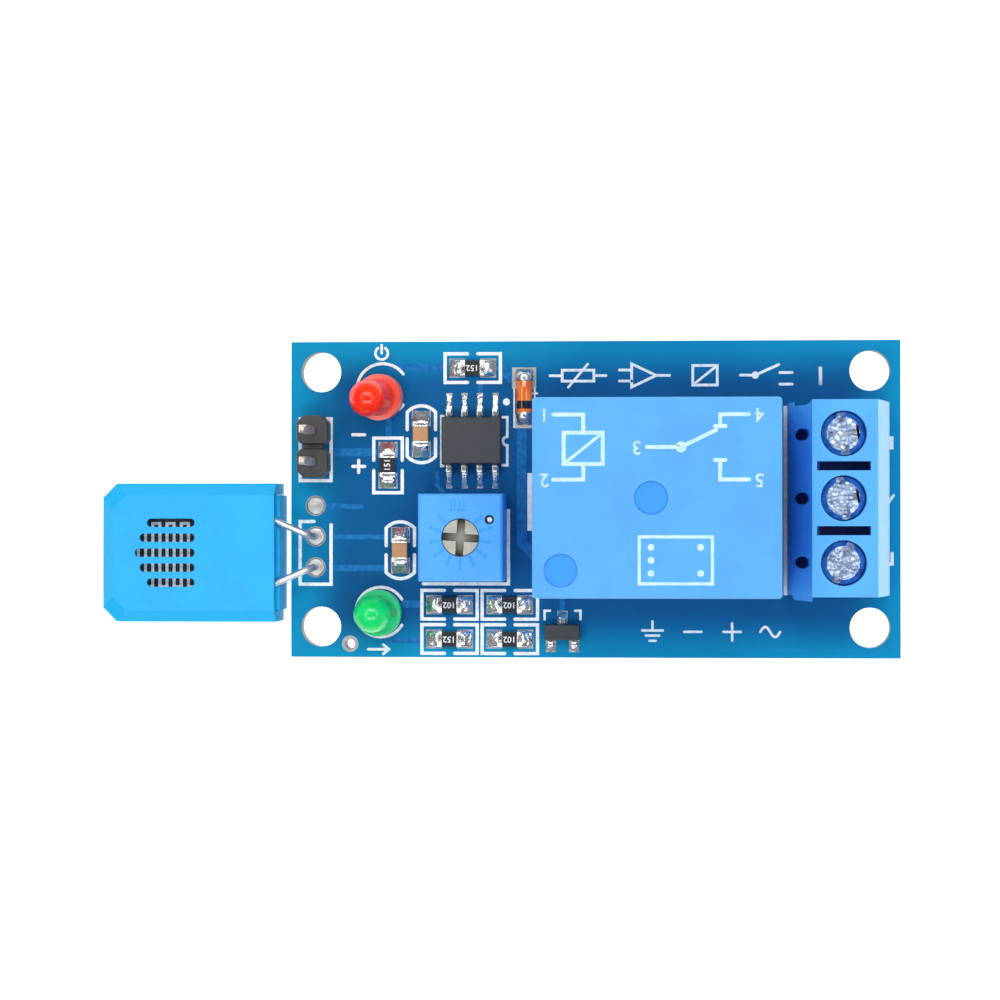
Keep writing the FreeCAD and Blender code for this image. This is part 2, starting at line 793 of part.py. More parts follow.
def make_wire_cage(name, side):
    body = new_body("cage_" + name)
    half = "cage_width / 2"
    inner = "(cage_width / 2 - cage_wall)"
    section = new_sketch(body, "cage_section", "YZ_Plane", "0")
    add_loop(section, rectangle(f"-{half}", half, cage_bottom, f"{cage_roof} + cage_head"), "outer")
    add_loop(section, rectangle(f"-{inner}", inner, clamp_floor, cage_roof), "inner")
    pad(body, section, "cage_length", both_ways=True)
    bore = circles(body, "thread_bore", "XY_Plane",
                   [("0", "0", "screw_shank_diameter / 2 + running_gap")], f"{cage_roof} + cage_head")
    pocket(body, bore, "cage_head")
    place(body, screw_x, f"terminal_centre_y + {pole_y(side)}")
    return finish("wire_cage_" + name, body)


tail_pin_x = f"({chamber_start_x} + fit_gap + tail_thickness / 2)"


def make_terminal_tail(name, side):
    """The fixed bar the wire is pressed against, bent down into a board pin."""
    start = f"({chamber_start_x} + fit_gap)"
    middle = f"(terminal_centre_y + {pole_y(side)})"
    bar = box(f"bar_{name}", start, f"{screw_x} + cage_length / 2",
              f"{middle} - tail_width / 2", f"{middle} + tail_width / 2", bar_bottom, bar_top)
    leg = box(f"leg_{name}", start, f"{start} + tail_thickness",
              f"{middle} - tail_width / 2", f"{middle} + tail_width / 2", board_top, bar_top)
    pin = box(f"pin_{name}", start, f"{start} + tail_thickness",
              f"{middle} - tail_pin_width / 2", f"{middle} + tail_pin_width / 2",
              lead_end, board_top)
    return finish("terminal_tail_" + name, fuse(f"tail_{name}", [bar, leg, pin]))


make_terminal_housing()
for pole, pole_side in POLES.items():
    make_terminal_screw(pole, pole_side)
    make_wire_cage(pole, pole_side)
    make_terminal_tail(pole, pole_side)


# Trimmer: a one-turn preset with its rotor held under the roof of its case
trimmer_roof_bottom = "(board_thickness + trimmer_height - trimmer_roof)"
trimmer_top = "(board_thickness + trimmer_height)"
flange_top = f"({trimmer_roof_bottom} - running_gap)"
flange_bottom = f"({flange_top} - rotor_flange_thickness)"
wiper_bottom = f"({flange_bottom} - wiper_thickness * 2)"
element_top = f"({wiper_bottom} - running_gap)"
element_bottom = f"({element_top} - element_thickness)"
trimmer_pin_places = [("0", "trimmer_pin_pitch / 2"), ("-trimmer_pin_pitch", "-trimmer_pin_pitch / 2"),
                      ("trimmer_pin_pitch", "-trimmer_pin_pitch / 2")]


def centred(width, depth, inset="0"):
    half_x = f"({width} / 2 - ({inset}))"
    half_y = f"({depth} / 2 - ({inset}))"
    return rectangle(f"-{half_x}", half_x, f"-{half_y}", half_y)


def make_trimmer_housing():
    body = new_body("trimmer_housing")
    shell = pad(body, outline(body, "case_outline", "XY_Plane",
                              centred("trimmer_size_x", "trimmer_size_y"), board_top), "trimmer_height")
    high = value(trimmer_top)
    ease_edges(body, shell, "trimmer_edge", lambda edge: edge.BoundBox.ZMin > high - 0.01)
    pocket(body, outline(body, "case_inside", "XY_Plane",
                         centred("trimmer_size_x", "trimmer_size_y", "trimmer_wall"), board_top),
           "trimmer_height - trimmer_roof", reverse=True)
    pocket(body, circles(body, "rotor_bore", "XY_Plane",
                         [("0", "0", "rotor_diameter / 2 + running_gap")], trimmer_top))
    pocket(body, circles(body, "pin_mark", "XY_Plane",
                         [("trimmer_mark_x", "trimmer_mark_y", "trimmer_mark_bore / 2")], trimmer_top),
           "trimmer_mark_depth")
    place(body, "trimmer_x", "trimmer_y")
    return finish("trimmer_housing", body)


def make_trimmer_rotor():
    body = new_body("trimmer_rotor")
    radius = "rotor_diameter / 2"
    rim = f"({trimmer_top} - rotor_recess)"
    points = [("0", flange_bottom), ("rotor_flange_diameter / 2", flange_bottom),
              ("rotor_flange_diameter / 2", flange_top), (radius, flange_top), (radius, rim),
              ("0", rim)]
    revolve(body, outline(body, "rotor_section", "XZ_Plane", points))
    slots = new_sketch(body, "rotor_cross", "XY_Plane", rim)
    half = "rotor_slot_width / 2"
    arm = "rotor_slot_length / 2"
    add_loop(slots, [(half, half), (half, arm), (f"-{half}", arm), (f"-{half}", half),
                     (f"-{arm}", half), (f"-{arm}", f"-{half}"), (f"-{half}", f"-{half}"),
                     (f"-{half}", f"-{arm}"), (half, f"-{arm}"), (half, f"-{half}"),
                     (arm, f"-{half}"), (arm, half)])
    pocket(body, slots, "rotor_slot_depth")
    place(body, "trimmer_x", "trimmer_y", "0", "rotor_slot_turn")
    return finish("trimmer_rotor", body)


def make_trimmer_wiper():
    """A sprung disc under the rotor with one raised contact on the track."""
    disc = post("wiper_disc", "trimmer_x", "trimmer_y", f"{flange_bottom} - wiper_thickness",
                flange_bottom, "wiper_diameter")
    tip = post("wiper_tip", "trimmer_x", "trimmer_y + wiper_diameter * 0.35", wiper_bottom,
               f"{flange_bottom} - wiper_thickness", "wiper_thickness * 3")
    return finish("trimmer_wiper", fuse("wiper_joined", [disc, tip]))


def make_trimmer_element():
    body = new_body("trimmer_element")
    inset = "trimmer_wall + fit_gap"
    pad(body, outline(body, "track_plate", "XY_Plane",
                      centred("trimmer_size_x", "trimmer_size_y", inset), element_bottom),
        "element_thickness")
    place(body, "trimmer_x", "trimmer_y")
    return finish("trimmer_element", body)


def make_trimmer_pins():
    pins = [post(f"trimmer_pin_{index}", f"trimmer_x + {x}", f"trimmer_y + {y}", lead_end,
                 element_bottom, "trimmer_pin_diameter")
            for index, (x, y) in enumerate(trimmer_pin_places, start=1)]
    return finish("trimmer_pins", group("trimmer_pin_set", pins))


make_trimmer_housing()
make_trimmer_rotor()
make_trimmer_wiper()
make_trimmer_element()
make_trimmer_pins()


# Humidity sensor: a printed comb element in a vented shell, hung on two leads
sensor_end_x = "(-board_length / 2 - sensor_gap)"
sensor_far_x = f"({sensor_end_x} - sensor_length)"
COMB_FINGERS = 7
shell_end_x = f"({sensor_end_x} - sensor_ledge)"
lead_axis_z = "(board_thickness + sensor_lead_height)"
lead_under_z = f"({lead_axis_z} - sensor_lead_diameter / 2)"
sensor_top = f"({lead_under_z} + sensor_head_room + sensor_roof)"
sensor_bottom = f"({sensor_top} - sensor_height)"
sensor_low_y = "(sensor_centre_y - sensor_width / 2)"
sensor_high_y = "(sensor_centre_y + sensor_width / 2)"
plate_bottom = f"({lead_under_z} - humidity_element_thickness)"
plate_end_x = f"({shell_end_x} - sensor_wall - fit_gap * 2)"
lead_tip_x = "(sensor_pad_x - sensor_lead_length * cos(sensor_lead_splay))"


def shell_outline(far, near, side, corner):
    """The sensor's outline, its two far corners cut, drawn in by the given amounts."""
    x0 = f"({sensor_far_x} + {far})"
    x1 = f"({shell_end_x} - {near})"
    y0 = f"({sensor_low_y} + {side})"
    y1 = f"({sensor_high_y} - {side})"
    return [(x1, y0), (x1, y1), (f"{x0} + {corner}", y1), (x0, f"{y1} - {corner}"),
            (x0, f"{y0} + {corner}"), (f"{x0} + {corner}", y0)]


def grille_rows():
    """Centre line and length of each vent: shorter towards the two edges."""
    lengths = ("grille_slot_length - grille_outer_short", "grille_slot_length - grille_inner_short",
               "grille_slot_length", "grille_slot_length - grille_inner_short",
               "grille_slot_length - grille_outer_short")
    for index, length in enumerate(lengths):
        yield f"(sensor_centre_y + grille_pitch * ({index - 2}))", f"({length})"


def make_sensor_cover():
    body = new_body("sensor_cover")
    bevel_start = f"({sensor_top} - sensor_bevel_drop)"
    pad(body, outline(body, "shell_side", "XY_Plane", shell_outline("0", "0", "0", "sensor_corner_cut"),
                      sensor_bottom), f"{bevel_start} - {sensor_bottom}")
    lower = outline(body, "bevel_foot", "XY_Plane", shell_outline("0", "0", "0", "sensor_corner_cut"),
                    bevel_start)
    upper = outline(body, "bevel_head", "XY_Plane",
                    shell_outline("sensor_side_bevel", "sensor_near_bevel",
                                  "sensor_side_bevel", "sensor_corner_cut"), sensor_top)
    bevel = body.newObject("PartDesign::AdditiveLoft", "bevelled_top")
    bevel.Profile = lower
    bevel.Sections = [upper]
    bevel.Ruled = True
    pocket(body, outline(body, "shell_inside", "XY_Plane",
                         shell_outline("sensor_wall", "sensor_wall", "sensor_wall",
                                       "sensor_corner_cut * 0.6"), sensor_bottom),
           "sensor_height - sensor_roof", reverse=True)
    doorway = rectangle(f"{shell_end_x} - sensor_wall * 1.5", f"{shell_end_x} + sensor_wall",
                        f"{sensor_low_y} + sensor_wall", f"{sensor_high_y} - sensor_wall")
    pocket(body, outline(body, "end_doorway", "XY_Plane", doorway, sensor_bottom),
           f"{lead_under_z} - {sensor_bottom}", reverse=True)
    notches = new_sketch(body, "lead_notches", "YZ_Plane", f"{shell_end_x} + sensor_wall")
    run = f"(sensor_pad_x - {shell_end_x} + sensor_wall / 2)"
    for name, side in (("low", "-1"), ("high", "1")):
        middle = (f"(sensor_pad_y + {side} * (sensor_pad_pitch / 2"
                  f" + {run} * tan(sensor_lead_splay)))")
        half = "sensor_lead_diameter"
        add_loop(notches, rectangle(f"{middle} - {half}", f"{middle} + {half}",
                                    f"{lead_under_z} - sensor_wall / 2",
                                    f"{lead_axis_z} + sensor_lead_diameter / 2 + fit_gap"), name)
    pocket(body, notches, "sensor_wall * 3")
    vents = new_sketch(body, "vents", "XY_Plane", sensor_top)
    ends = new_sketch(body, "vent_ends", "XY_Plane", sensor_top)
    half = "grille_slot_width / 2"
    near = f"({sensor_end_x} - grille_end_inset - {half})"
    for index, (row_y, length) in enumerate(grille_rows()):
        far = f"({near} + grille_slot_width - {length})"
        add_loop(vents, rectangle(far, near, f"{row_y} - {half}", f"{row_y} + {half}"), f"v{index}")
        add_circle(ends, f"n{index}", near, row_y, half)
        add_circle(ends, f"f{index}", far, row_y, half)
    pocket(body, vents, "sensor_roof * 1.5")
    pocket(body, ends, "sensor_roof * 1.5")
    return finish("sensor_cover", body)


def make_sensor_back():
    """The cast back that carries the element and steps out under the leads."""
    body = new_body("sensor_back")
    gap = "fit_gap / 2"
    pad(body, outline(body, "back_outline", "XY_Plane",
                      shell_outline(f"(sensor_wall + {gap})", f"(sensor_wall + {gap})",
                                    f"(sensor_wall + {gap})", "sensor_corner_cut * 0.6"),
                      sensor_bottom), f"{plate_bottom} - {sensor_bottom}")
    ledge = rectangle(f"{plate_end_x} + fit_gap / 2", sensor_end_x,
                      f"{sensor_low_y} + sensor_wall + {gap}", f"{sensor_high_y} - sensor_wall - {gap}")
    pad(body, outline(body, "ledge_outline", "XY_Plane", ledge, sensor_bottom),
        f"{lead_under_z} - {sensor_bottom} - running_gap")
    return finish("sensor_back", body)


def make_humidity_element():
    plate = box("element_plate", f"{plate_end_x} - element_length", plate_end_x,
                "sensor_centre_y - element_width / 2", "sensor_centre_y + element_width / 2",
                plate_bottom, lead_under_z)
    return finish("humidity_element", plate)


def make_comb(name, side, shift):
    """One of the two printed electrodes whose fingers pass between each other."""
    middle = "(sensor_centre_y + comb_shift)"
    root = f"({middle} + {side} * comb_reach / 2)"
    outer = f"({root} + {side} * comb_bar)"
    tip = f"({middle} - {side} * (comb_reach / 2 - comb_tip_gap))"
    top = f"({lead_under_z} + comb_thickness)"
    start = f"({plate_end_x} - element_length + comb_pitch / 2)"
    bar_end = f"({lead_tip_x} - sensor_lead_diameter)"
    low, high = (root, outer) if side > 0 else (outer, root)
    pieces = [box(f"{name}_bar", start, bar_end, low, high, lead_under_z, top)]
    low, high = (tip, root) if side > 0 else (root, tip)
    for index in range(COMB_FINGERS):
        x = f"({start} + comb_pitch * ({index} + {shift}))"
        pieces.append(box(f"{name}_finger_{index}", x, f"{x} + comb_finger", low, high,
                          lead_under_z, top))
    return finish(name, fuse(name + "_joined", pieces))


def make_sensor_lead(name, side):
    """A round lead: up from its pad, over a bend and out to the element."""
    body = new_body(name + "_wire")
    path = new_sketch(body, "lead_path", "XZ_Plane", "0")
    corner = value("sensor_lead_bend")
    top = value(lead_axis_z)
    vector = FreeCAD.Vector
    path.addGeometry(Part.LineSegment(vector(0, value(lead_end), 0), vector(0, top - corner, 0)))
    path.addGeometry(Part.ArcOfCircle(Part.Circle(vector(-corner, top - corner, 0), vector(0, 0, 1),
                                                  corner), 0, math.pi / 2))
    path.addGeometry(Part.LineSegment(vector(-corner, top, 0),
                                      vector(-value("sensor_lead_length"), top, 0)))
    path.addConstraint(Sketcher.Constraint("Coincident", 0, 2, 1, 1))
    path.addConstraint(Sketcher.Constraint("Coincident", 1, 2, 2, 1))
    bind_point(path, 0, 1, "foot", "0", lead_end)
    bind_point(path, 0, 2, "rise", "0", f"{lead_axis_z} - sensor_lead_bend")
    centre = path.addConstraint(Sketcher.Constraint("DistanceX", -1, 1, 1, 3, -corner))
    path.renameConstraint(centre, "bend_centre")
    bind(path, "Constraints.bend_centre", "-sensor_lead_bend")
    bind_point(path, 2, 1, "turn", "-sensor_lead_bend", lead_axis_z)
    bind_point(path, 2, 2, "tip", "-sensor_lead_length", lead_axis_z)
    section = circles(body, "lead_section", "XY_Plane", [("0", "0", "sensor_lead_diameter / 2")],
                      lead_end)
    pipe = body.newObject("PartDesign::AdditivePipe", "lead_pipe")
    pipe.Profile = section
    pipe.Spine = path
    place(body, "sensor_pad_x", f"sensor_pad_y + {side} * sensor_pad_pitch / 2", "0",
          f"-({side}) * sensor_lead_splay")
    return finish(name, body)


make_sensor_cover()
make_sensor_back()
make_humidity_element()
make_comb("comb_upper", 1, "0")
make_comb("comb_lower", -1, "0.5")
make_sensor_lead("sensor_lead_upper", "1")
make_sensor_lead("sensor_lead_lower", "-1")


# Pin header
header_top = "(board_thickness + header_height)"
header_pin_places = [("header_x", "(header_y + header_pitch / 2)"),
                     ("header_x", "(header_y - header_pitch / 2)")]


def square_at(x, y, size):
    return rectangle(f"{x} - {size} / 2", f"{x} + {size} / 2", f"{y} - {size} / 2", f"{y} + {size} / 2")


def make_header_body():
    body = new_body("header_body")
    half = "header_pitch / 2"
    right = []
    left = []
    for x, y in reversed(header_pin_places):
        right += [(f"{x} + {half} - header_corner", f"{y} - {half}"),
                  (f"{x} + {half}", f"{y} - {half} + header_corner"),
                  (f"{x} + {half}", f"{y} + {half} - header_corner")]
        left += [(f"{x} - {half} + header_corner", f"{y} - {half}"),
                 (f"{x} - {half}", f"{y} - {half} + header_corner"),
                 (f"{x} - {half}", f"{y} + {half} - header_corner")]
    x, y = header_pin_places[0]
    right.append((f"{x} + {half} - header_corner", f"{y} + {half}"))
    left.append((f"{x} - {half} + header_corner", f"{y} + {half}"))
    pad(body, outline(body, "header_outline", "XY_Plane", right + left[::-1], board_top),
        "header_height")
    holes = new_sketch(body, "pin_holes", "XY_Plane", header_top)
    for index, (x, y) in enumerate(header_pin_places):
        add_loop(holes, square_at(x, y, "header_pin_width"), f"h{index}")
    pocket(body, holes)
    notches = new_sketch(body, "way_notches", "XY_Plane", header_top)
    for index, (x, y) in enumerate(header_pin_places[1:]):
        middle = f"({y} + {half})"
        add_loop(notches, rectangle(f"{x} - {half}", f"{x} + {half}", f"{middle} - header_notch_width / 2",
                                    f"{middle} + header_notch_width / 2"), f"n{index}")
    pocket(body, notches, "header_notch_depth")
    return finish("header_body", body)


def make_header_pins():
    body = new_body("header_pins")
    tip = "header_pin_width * 0.8"
    pin_top = f"({header_top} + header_pin_rise)"
    for label, level, length, upward in (
            ("shank", f"{lead_end} + {tip}", f"{pin_top} + lead_reach - {tip} * 2", None),
            ("top_tip", f"{pin_top} - {tip}", tip, True),
            ("end_tip", f"{lead_end} + {tip}", tip, False)):
        sketch = new_sketch(body, label, "XY_Plane", level)
        for index, (x, y) in enumerate(header_pin_places):
            add_loop(sketch, square_at(x, y, "header_pin_width"), f"s{index}")
        pad(body, sketch, length, reverse=upward is False,
            taper=None if upward is None else "0 - 16")
    return finish("header_pins", body)


make_header_body()
make_header_pins()


# Light emitting diodes
def make_led(name):
    """A round-topped lens with a collar, leaning on its two leads."""
    x, y = f"{name}_x", f"{name}_y"
    half = "led_lead_width / 2"
    leads = []
    for label, side in (("anode", "-1"), ("cathode", "1")):
        centre = f"({x} + {side} * led_lead_pitch / 2)"
        leads.append(box(f"{name}_{label}", f"{centre} - {half}", f"{centre} + {half}",
                         f"{y} - {half}", f"{y} + {half}", lead_end,
                         "board_thickness + led_standoff + led_lead_rise"))
    pair = finish(name + "_leads", group(name + "_lead_pair", leads))
    body = new_body(name + "_moulding")
    radius = "led_lens_diameter / 2"
    shoulder = f"(led_height - {radius})"
    sketch = new_sketch(body, "lens_section", "XZ_Plane", "0")
    corners = [("0", "0"), ("led_flange_diameter / 2", "0"),
               ("led_flange_diameter / 2", "led_flange_height"), (radius, "led_flange_height"),
               (radius, shoulder)]
    places = [FreeCAD.Vector(value(a), value(b), 0) for a, b in corners]
    top = FreeCAD.Vector(0, value("led_height"), 0)
    for start, end in zip(places, places[1:]):
        sketch.addGeometry(Part.LineSegment(start, end))
    dome = Part.Circle(FreeCAD.Vector(0, value(shoulder), 0), FreeCAD.Vector(0, 0, 1), value(radius))
    sketch.addGeometry(Part.ArcOfCircle(dome, 0, math.pi / 2))
    sketch.addGeometry(Part.LineSegment(top, places[0]))
    for index in range(6):
        sketch.addConstraint(Sketcher.Constraint("Coincident", index, 2, (index + 1) % 6, 1))
    for index, (a, b) in enumerate(corners):
        bind_point(sketch, index if index < 4 else 3, 1 if index < 4 else 2, f"p{index}", a, b)
    bind_point(sketch, 5, 1, "crown", "0", "led_height")
    sketch.addConstraint(Sketcher.Constraint("PointOnObject", 4, 3, -2))
    revolve(body, sketch)
    way = f"{name}_way"
    bind(body, "Placement",
         f"placement(vector({x}; {y}; board_thickness + led_standoff);"
         f" rotation(vector(-sin({way}); cos({way}); 0); {name}_lean))")
    return finish(name + "_lens", cut(name + "_drilled", body, pair))


make_led("power_led")
make_led("status_led")


# Comparator and transistor: draughted mouldings on formed leads
def make_moulding(name, kind):
    body = new_body(name + "_moulding")
    middle = f"(board_thickness + {kind}_standoff + {kind}_height / 2)"
    loop = centred(f"{kind}_length", f"{kind}_width")
    for label, downward in (("upper", False), ("lower", True)):
        half = outline(body, f"{label}_half", "XY_Plane", loop, middle)
        pad(body, half, f"{kind}_height / 2", reverse=downward, taper="0 - comparator_draft")
    place(body, f"{kind}_x", f"{kind}_y")
    return finish(name, body)


def formed_lead(kind):
    """The side outline of a lead bent down from the body to a flat foot."""
    middle = f"(board_thickness + {kind}_standoff + {kind}_height / 2)"
    sheet_half = f"{kind}_lead_thickness / 2"
    foot_end = f"{kind}_lead_span / 2"
    knee = f"({foot_end} - {kind}_foot)"
    root = f"{kind}_width / 2"
    return [(root, f"{middle} - {sheet_half}"), (knee, f"{middle} - {sheet_half}"),
            (knee, board_top), (foot_end, board_top), (foot_end, f"{board_top} + {kind}_lead_thickness"),
            (f"{knee} + {kind}_lead_thickness", f"{board_top} + {kind}_lead_thickness"),
            (f"{knee} + {kind}_lead_thickness", f"{middle} + {sheet_half}"),
            (root, f"{middle} + {sheet_half}")]


def make_leads(name, kind, places):
    body = new_body(name + "_set")
    side_view = formed_lead(kind)
    for index, (x, side) in enumerate(places):
        points = [(f"{side} * ({y})", z) for y, z in side_view]
        sketch = outline(body, f"lead_{index}", "YZ_Plane", points, x)
        pad(body, sketch, f"{kind}_lead_width", both_ways=True)
    place(body, f"{kind}_x", f"{kind}_y")
    return finish(name, body)


comparator_lead_places = [(f"comparator_lead_pitch * ({step})", side)
                          for side in ("1", "-1") for step in ("-1.5", "-0.5", "0.5", "1.5")]
transistor_lead_places = [("0", "1"), ("transistor_lead_pitch / 2", "-1"),
                          ("-transistor_lead_pitch / 2", "-1")]
make_moulding("comparator_body", "comparator")
make_leads("comparator_leads", "comparator", comparator_lead_places)
make_moulding("transistor_body", "transistor")
make_leads("transistor_leads", "transistor", transistor_lead_places)


# Chip resistors and capacitors
end_caps = []
chip_ends = []
for chip, (_, _, _, turn) in CHIP_PLACES.items():
    x, y = f"{chip}_x", f"{chip}_y"
    height = "resistor_height" if chip in RESISTOR_PLACES else "capacitor_height"
    top = f"board_thickness + {height}"
    reach = "chip_length / 2"
    core = f"({reach} - chip_cap_length)"
    half = "chip_width / 2"

    def chip_box(name, low, high):
        if turn:
            return box(name, f"{x} - {half}", f"{x} + {half}", f"{y} + {low}", f"{y} + {high}",
                       board_top, top)
        return box(name, f"{x} + {low}", f"{x} + {high}", f"{y} - {half}", f"{y} + {half}",
                   board_top, top)

    finish(chip, chip_box(chip + "_body", f"-{core}", core))
    end_caps.append(chip_box(chip + "_cap_low", f"-{reach}", f"-{core}"))
    end_caps.append(chip_box(chip + "_cap_high", core, reach))
    for side, away in (("-1", 180), ("1", 0)):
        along = f"{side} * {reach}"
        if turn:
            chip_ends.append((x, f"{y} + {along}", away + 90))
        else:
            chip_ends.append((f"{x} + {along}", y, away))
finish("chip_end_caps", group("end_cap_set", end_caps))


# Glass diode
def make_diode():
    centre_z = "board_thickness + diode_cap_diameter / 2"
    glass = new_body("diode_barrel")
    half = "(diode_length / 2 - diode_cap_length)"
    revolve(glass, outline(glass, "barrel_section", "XY_Plane",
                           rectangle("0", "diode_glass_diameter / 2", f"-{half}", half)))
    place(glass, "diode_x", "diode_y", centre_z)
    finish("diode_glass", glass)
    caps = new_body("diode_ends")
    for name, low, high in (("near", "-diode_length / 2", f"-{half}"),
                            ("far", half, "diode_length / 2")):
        revolve(caps, outline(caps, name + "_cap", "XY_Plane",
                              rectangle("0", "diode_cap_diameter / 2", low, high)))
    place(caps, "diode_x", "diode_y", centre_z)
    finish("diode_caps", caps)


make_diode()


# Solder: ramps at the surface joints, cones under the board
def ramp(name, x, y, way, width, reach, rise):
    """A wedge of solder that falls away from a joint in the direction given in degrees."""
    wedge = doc.addObject("Part::Wedge", name)
    bind(wedge, "Xmin", f"-({width}) / 2")
    bind(wedge, "Xmax", f"({width}) / 2")
    bind(wedge, "X2min", f"-({width}) / 2")
    bind(wedge, "X2max", f"({width}) / 2")
    wedge.Ymin = 0
    bind(wedge, "Ymax", reach)
    wedge.Zmin = 0
    bind(wedge, "Zmax", rise)
    wedge.Z2min = 0
    bind(wedge, "Z2max", f"({rise}) / 6")
    place(wedge, x, y, board_top, str(way - 90))
    return wedge


ramps = []
for index, (x, y, way) in enumerate(chip_ends):
    ramps.append(ramp(f"chip_ramp_{index}", x, y, way, "chip_width * 1.15", "chip_pad_reach",
                      "chip_solder_rise"))
for kind, places in (("comparator", comparator_lead_places), ("transistor", transistor_lead_places)):
    for index, (x, side) in enumerate(places):
        ramps.append(ramp(f"{kind}_ramp_{index}", f"{kind}_x + {x}",
                          f"{kind}_y + {side} * {kind}_lead_span / 2", 90 if side == "1" else 270,
                          f"{kind}_lead_width * 1.4", f"{kind}_foot / 2", f"{kind}_lead_thickness"))
for side, way in (("1", 90), ("-1", 270)):
    ramps.append(ramp(f"diode_ramp_{way}", "diode_x", f"diode_y + {side} * diode_length / 2", way,
                      "diode_cap_diameter", "chip_pad_reach / 2", "diode_cap_diameter / 2"))
finish("surface_solder", group("ramp_set", ramps))

def flat(x, y, size_x, size_y):
    return {"x": x, "y": y, "size_x": size_x, "size_y": size_y, "round": False}


def wire(x, y, size):
    return {"x": x, "y": y, "size_x": size, "size_y": size, "round": True}


through_leads = []
for name, (x, y) in relay_pins.items():
    section = ("relay_pin_width", "relay_pin_thickness")
    through_leads.append(flat(x, y, *(section[::-1] if name == "common" else section)))
through_leads += [flat(tail_pin_x, f"(terminal_centre_y + {pole_y(side)})", "tail_thickness",
                       "tail_pin_width") for side in POLES.values()]
through_leads += [wire(f"(trimmer_x + {x})", f"(trimmer_y + {y})", "trimmer_pin_diameter")
                  for x, y in trimmer_pin_places]
through_leads += [flat(x, y, "header_pin_width", "header_pin_width") for x, y in header_pin_places]
through_leads += [wire("sensor_pad_x", f"(sensor_pad_y + {side} * sensor_pad_pitch / 2)",
                       "sensor_lead_diameter") for side in ("-1", "1")]
through_leads += [flat(f"({led}_x + {side} * led_lead_pitch / 2)", f"{led}_y", "led_lead_width",
                       "led_lead_width") for led in ("power_led", "status_led") for side in ("-1", "1")]
soldered = ["coil_pins", "open_contact", "closed_contact", "common_terminal", "terminal_tail_one",
            "terminal_tail_two", "terminal_tail_three", "trimmer_pins", "header_pins",
            "sensor_lead_upper", "sensor_lead_lower", "power_led_leads", "status_led_leads"]


def solder_section(name, lead, level, margin):
    """An eight-sided ring of solder around a lead at one level."""
    ring = doc.addObject("Part::RegularPolygon", name)
    ring.Polygon = 8
    wider = "size_x" if value(lead["size_x"]) >= value(lead["size_y"]) else "size_y"
    bind(ring, "Circumradius", f"{lead[wider]} / 2 + {margin}")
    place(ring, lead["x"], lead["y"], level, "22.5")
    return ring


def make_through_solder():
    cones = []
    for index, lead in enumerate(through_leads):
        cone = doc.addObject("Part::Loft", f"cone_{index}")
        cone.Sections = [solder_section(f"tip_{index}", lead, "0 - solder_height", "solder_rim"),
                         solder_section(f"foot_{index}", lead, "0", "solder_collar")]
        cone.Solid = True
        cone.Ruled = True
        cones.append(cone)
    all_cones = group("cone_set", cones)
    all_leads = group("lead_set", [parts[name] for name in soldered])
    return finish("through_solder", cut("soldered_joints", all_cones, all_leads))


make_through_solder()


# Circuit board
def make_board():
    body = new_body("board")
    half_x, half_y = "board_length / 2", "board_width / 2"
    pad(body, outline(body, "board_outline", "XY_Plane",
                      rectangle(f"-{half_x}", half_x, f"-{half_y}", half_y)), "board_thickness")
    mounts = [(f"{x} * mount_pitch_x / 2", f"{y} * mount_pitch_y / 2", "mount_bore / 2")
              for x in ("-1", "1") for y in ("-1", "1")]
    pocket(body, circles(body, "mount_holes", "XY_Plane", mounts), reverse=True)
    bores = [(lead["x"], lead["y"], f"{lead['size_x']} / 2 + hole_clearance")
             for lead in through_leads if lead["round"]]
    bores.append(("sensor_pad_x", "sensor_pad_y + sensor_pad_pitch * 1.5", "sensor_lead_diameter / 2"))
    bores.append(("via_x", "via_y", "via_bore / 2"))
    pocket(body, circles(body, "wire_holes", "XY_Plane", bores), reverse=True)
    slots = new_sketch(body, "pin_slots", "XY_Plane", "0")
    for index, lead in enumerate(through_leads):
        if lead["round"]:
            continue
        half_x = f"({lead['size_x']} / 2 + hole_clearance)"
        half_y = f"({lead['size_y']} / 2 + hole_clearance)"
        add_loop(slots, rectangle(f"{lead['x']} - {half_x}", f"{lead['x']} + {half_x}",
                                  f"{lead['y']} - {half_y}", f"{lead['y']} + {half_y}"), f"s{index}")
    pocket(body, slots, reverse=True)
    return finish("circuit_board", body)


make_board()


def check_and_export():
    doc.recompute()
    faulty = [f"{item.Name}: {item.State}" for item in doc.Objects
              if "Invalid" in item.State or "Error" in item.State]
    if faulty:
        raise RuntimeError("failed features: " + "; ".join(faulty))
    os.makedirs("parts", exist_ok=True)
    for name, item in parts.items():
        shape = item.Shape
        if shape.isNull() or not shape.isValid() or not shape.Solids:
            raise RuntimeError(f"{name} has no sound solid")
        shape.exportStep(os.path.join("parts", name + ".step"))
        print(f"{name}: {len(shape.Solids)} solid(s), {shape.Volume:.2f} mm3")
    print(f"{len(parts)} sub-parts")


check_and_export()
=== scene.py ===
# %% [markdown]
# # A humidity sensor module on a small relay board
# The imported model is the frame: every piece below sits where that frame says.
# All of it could be modelled again here, but the solids are already right, so
# they are kept, or softened at their edges. What this notebook adds is what a
# solid model leaves out: print, copper, solder and how each surface looks.

# %% Load the frame
import json
import math
import bmesh
import bpy
from mathutils import Matrix, Vector


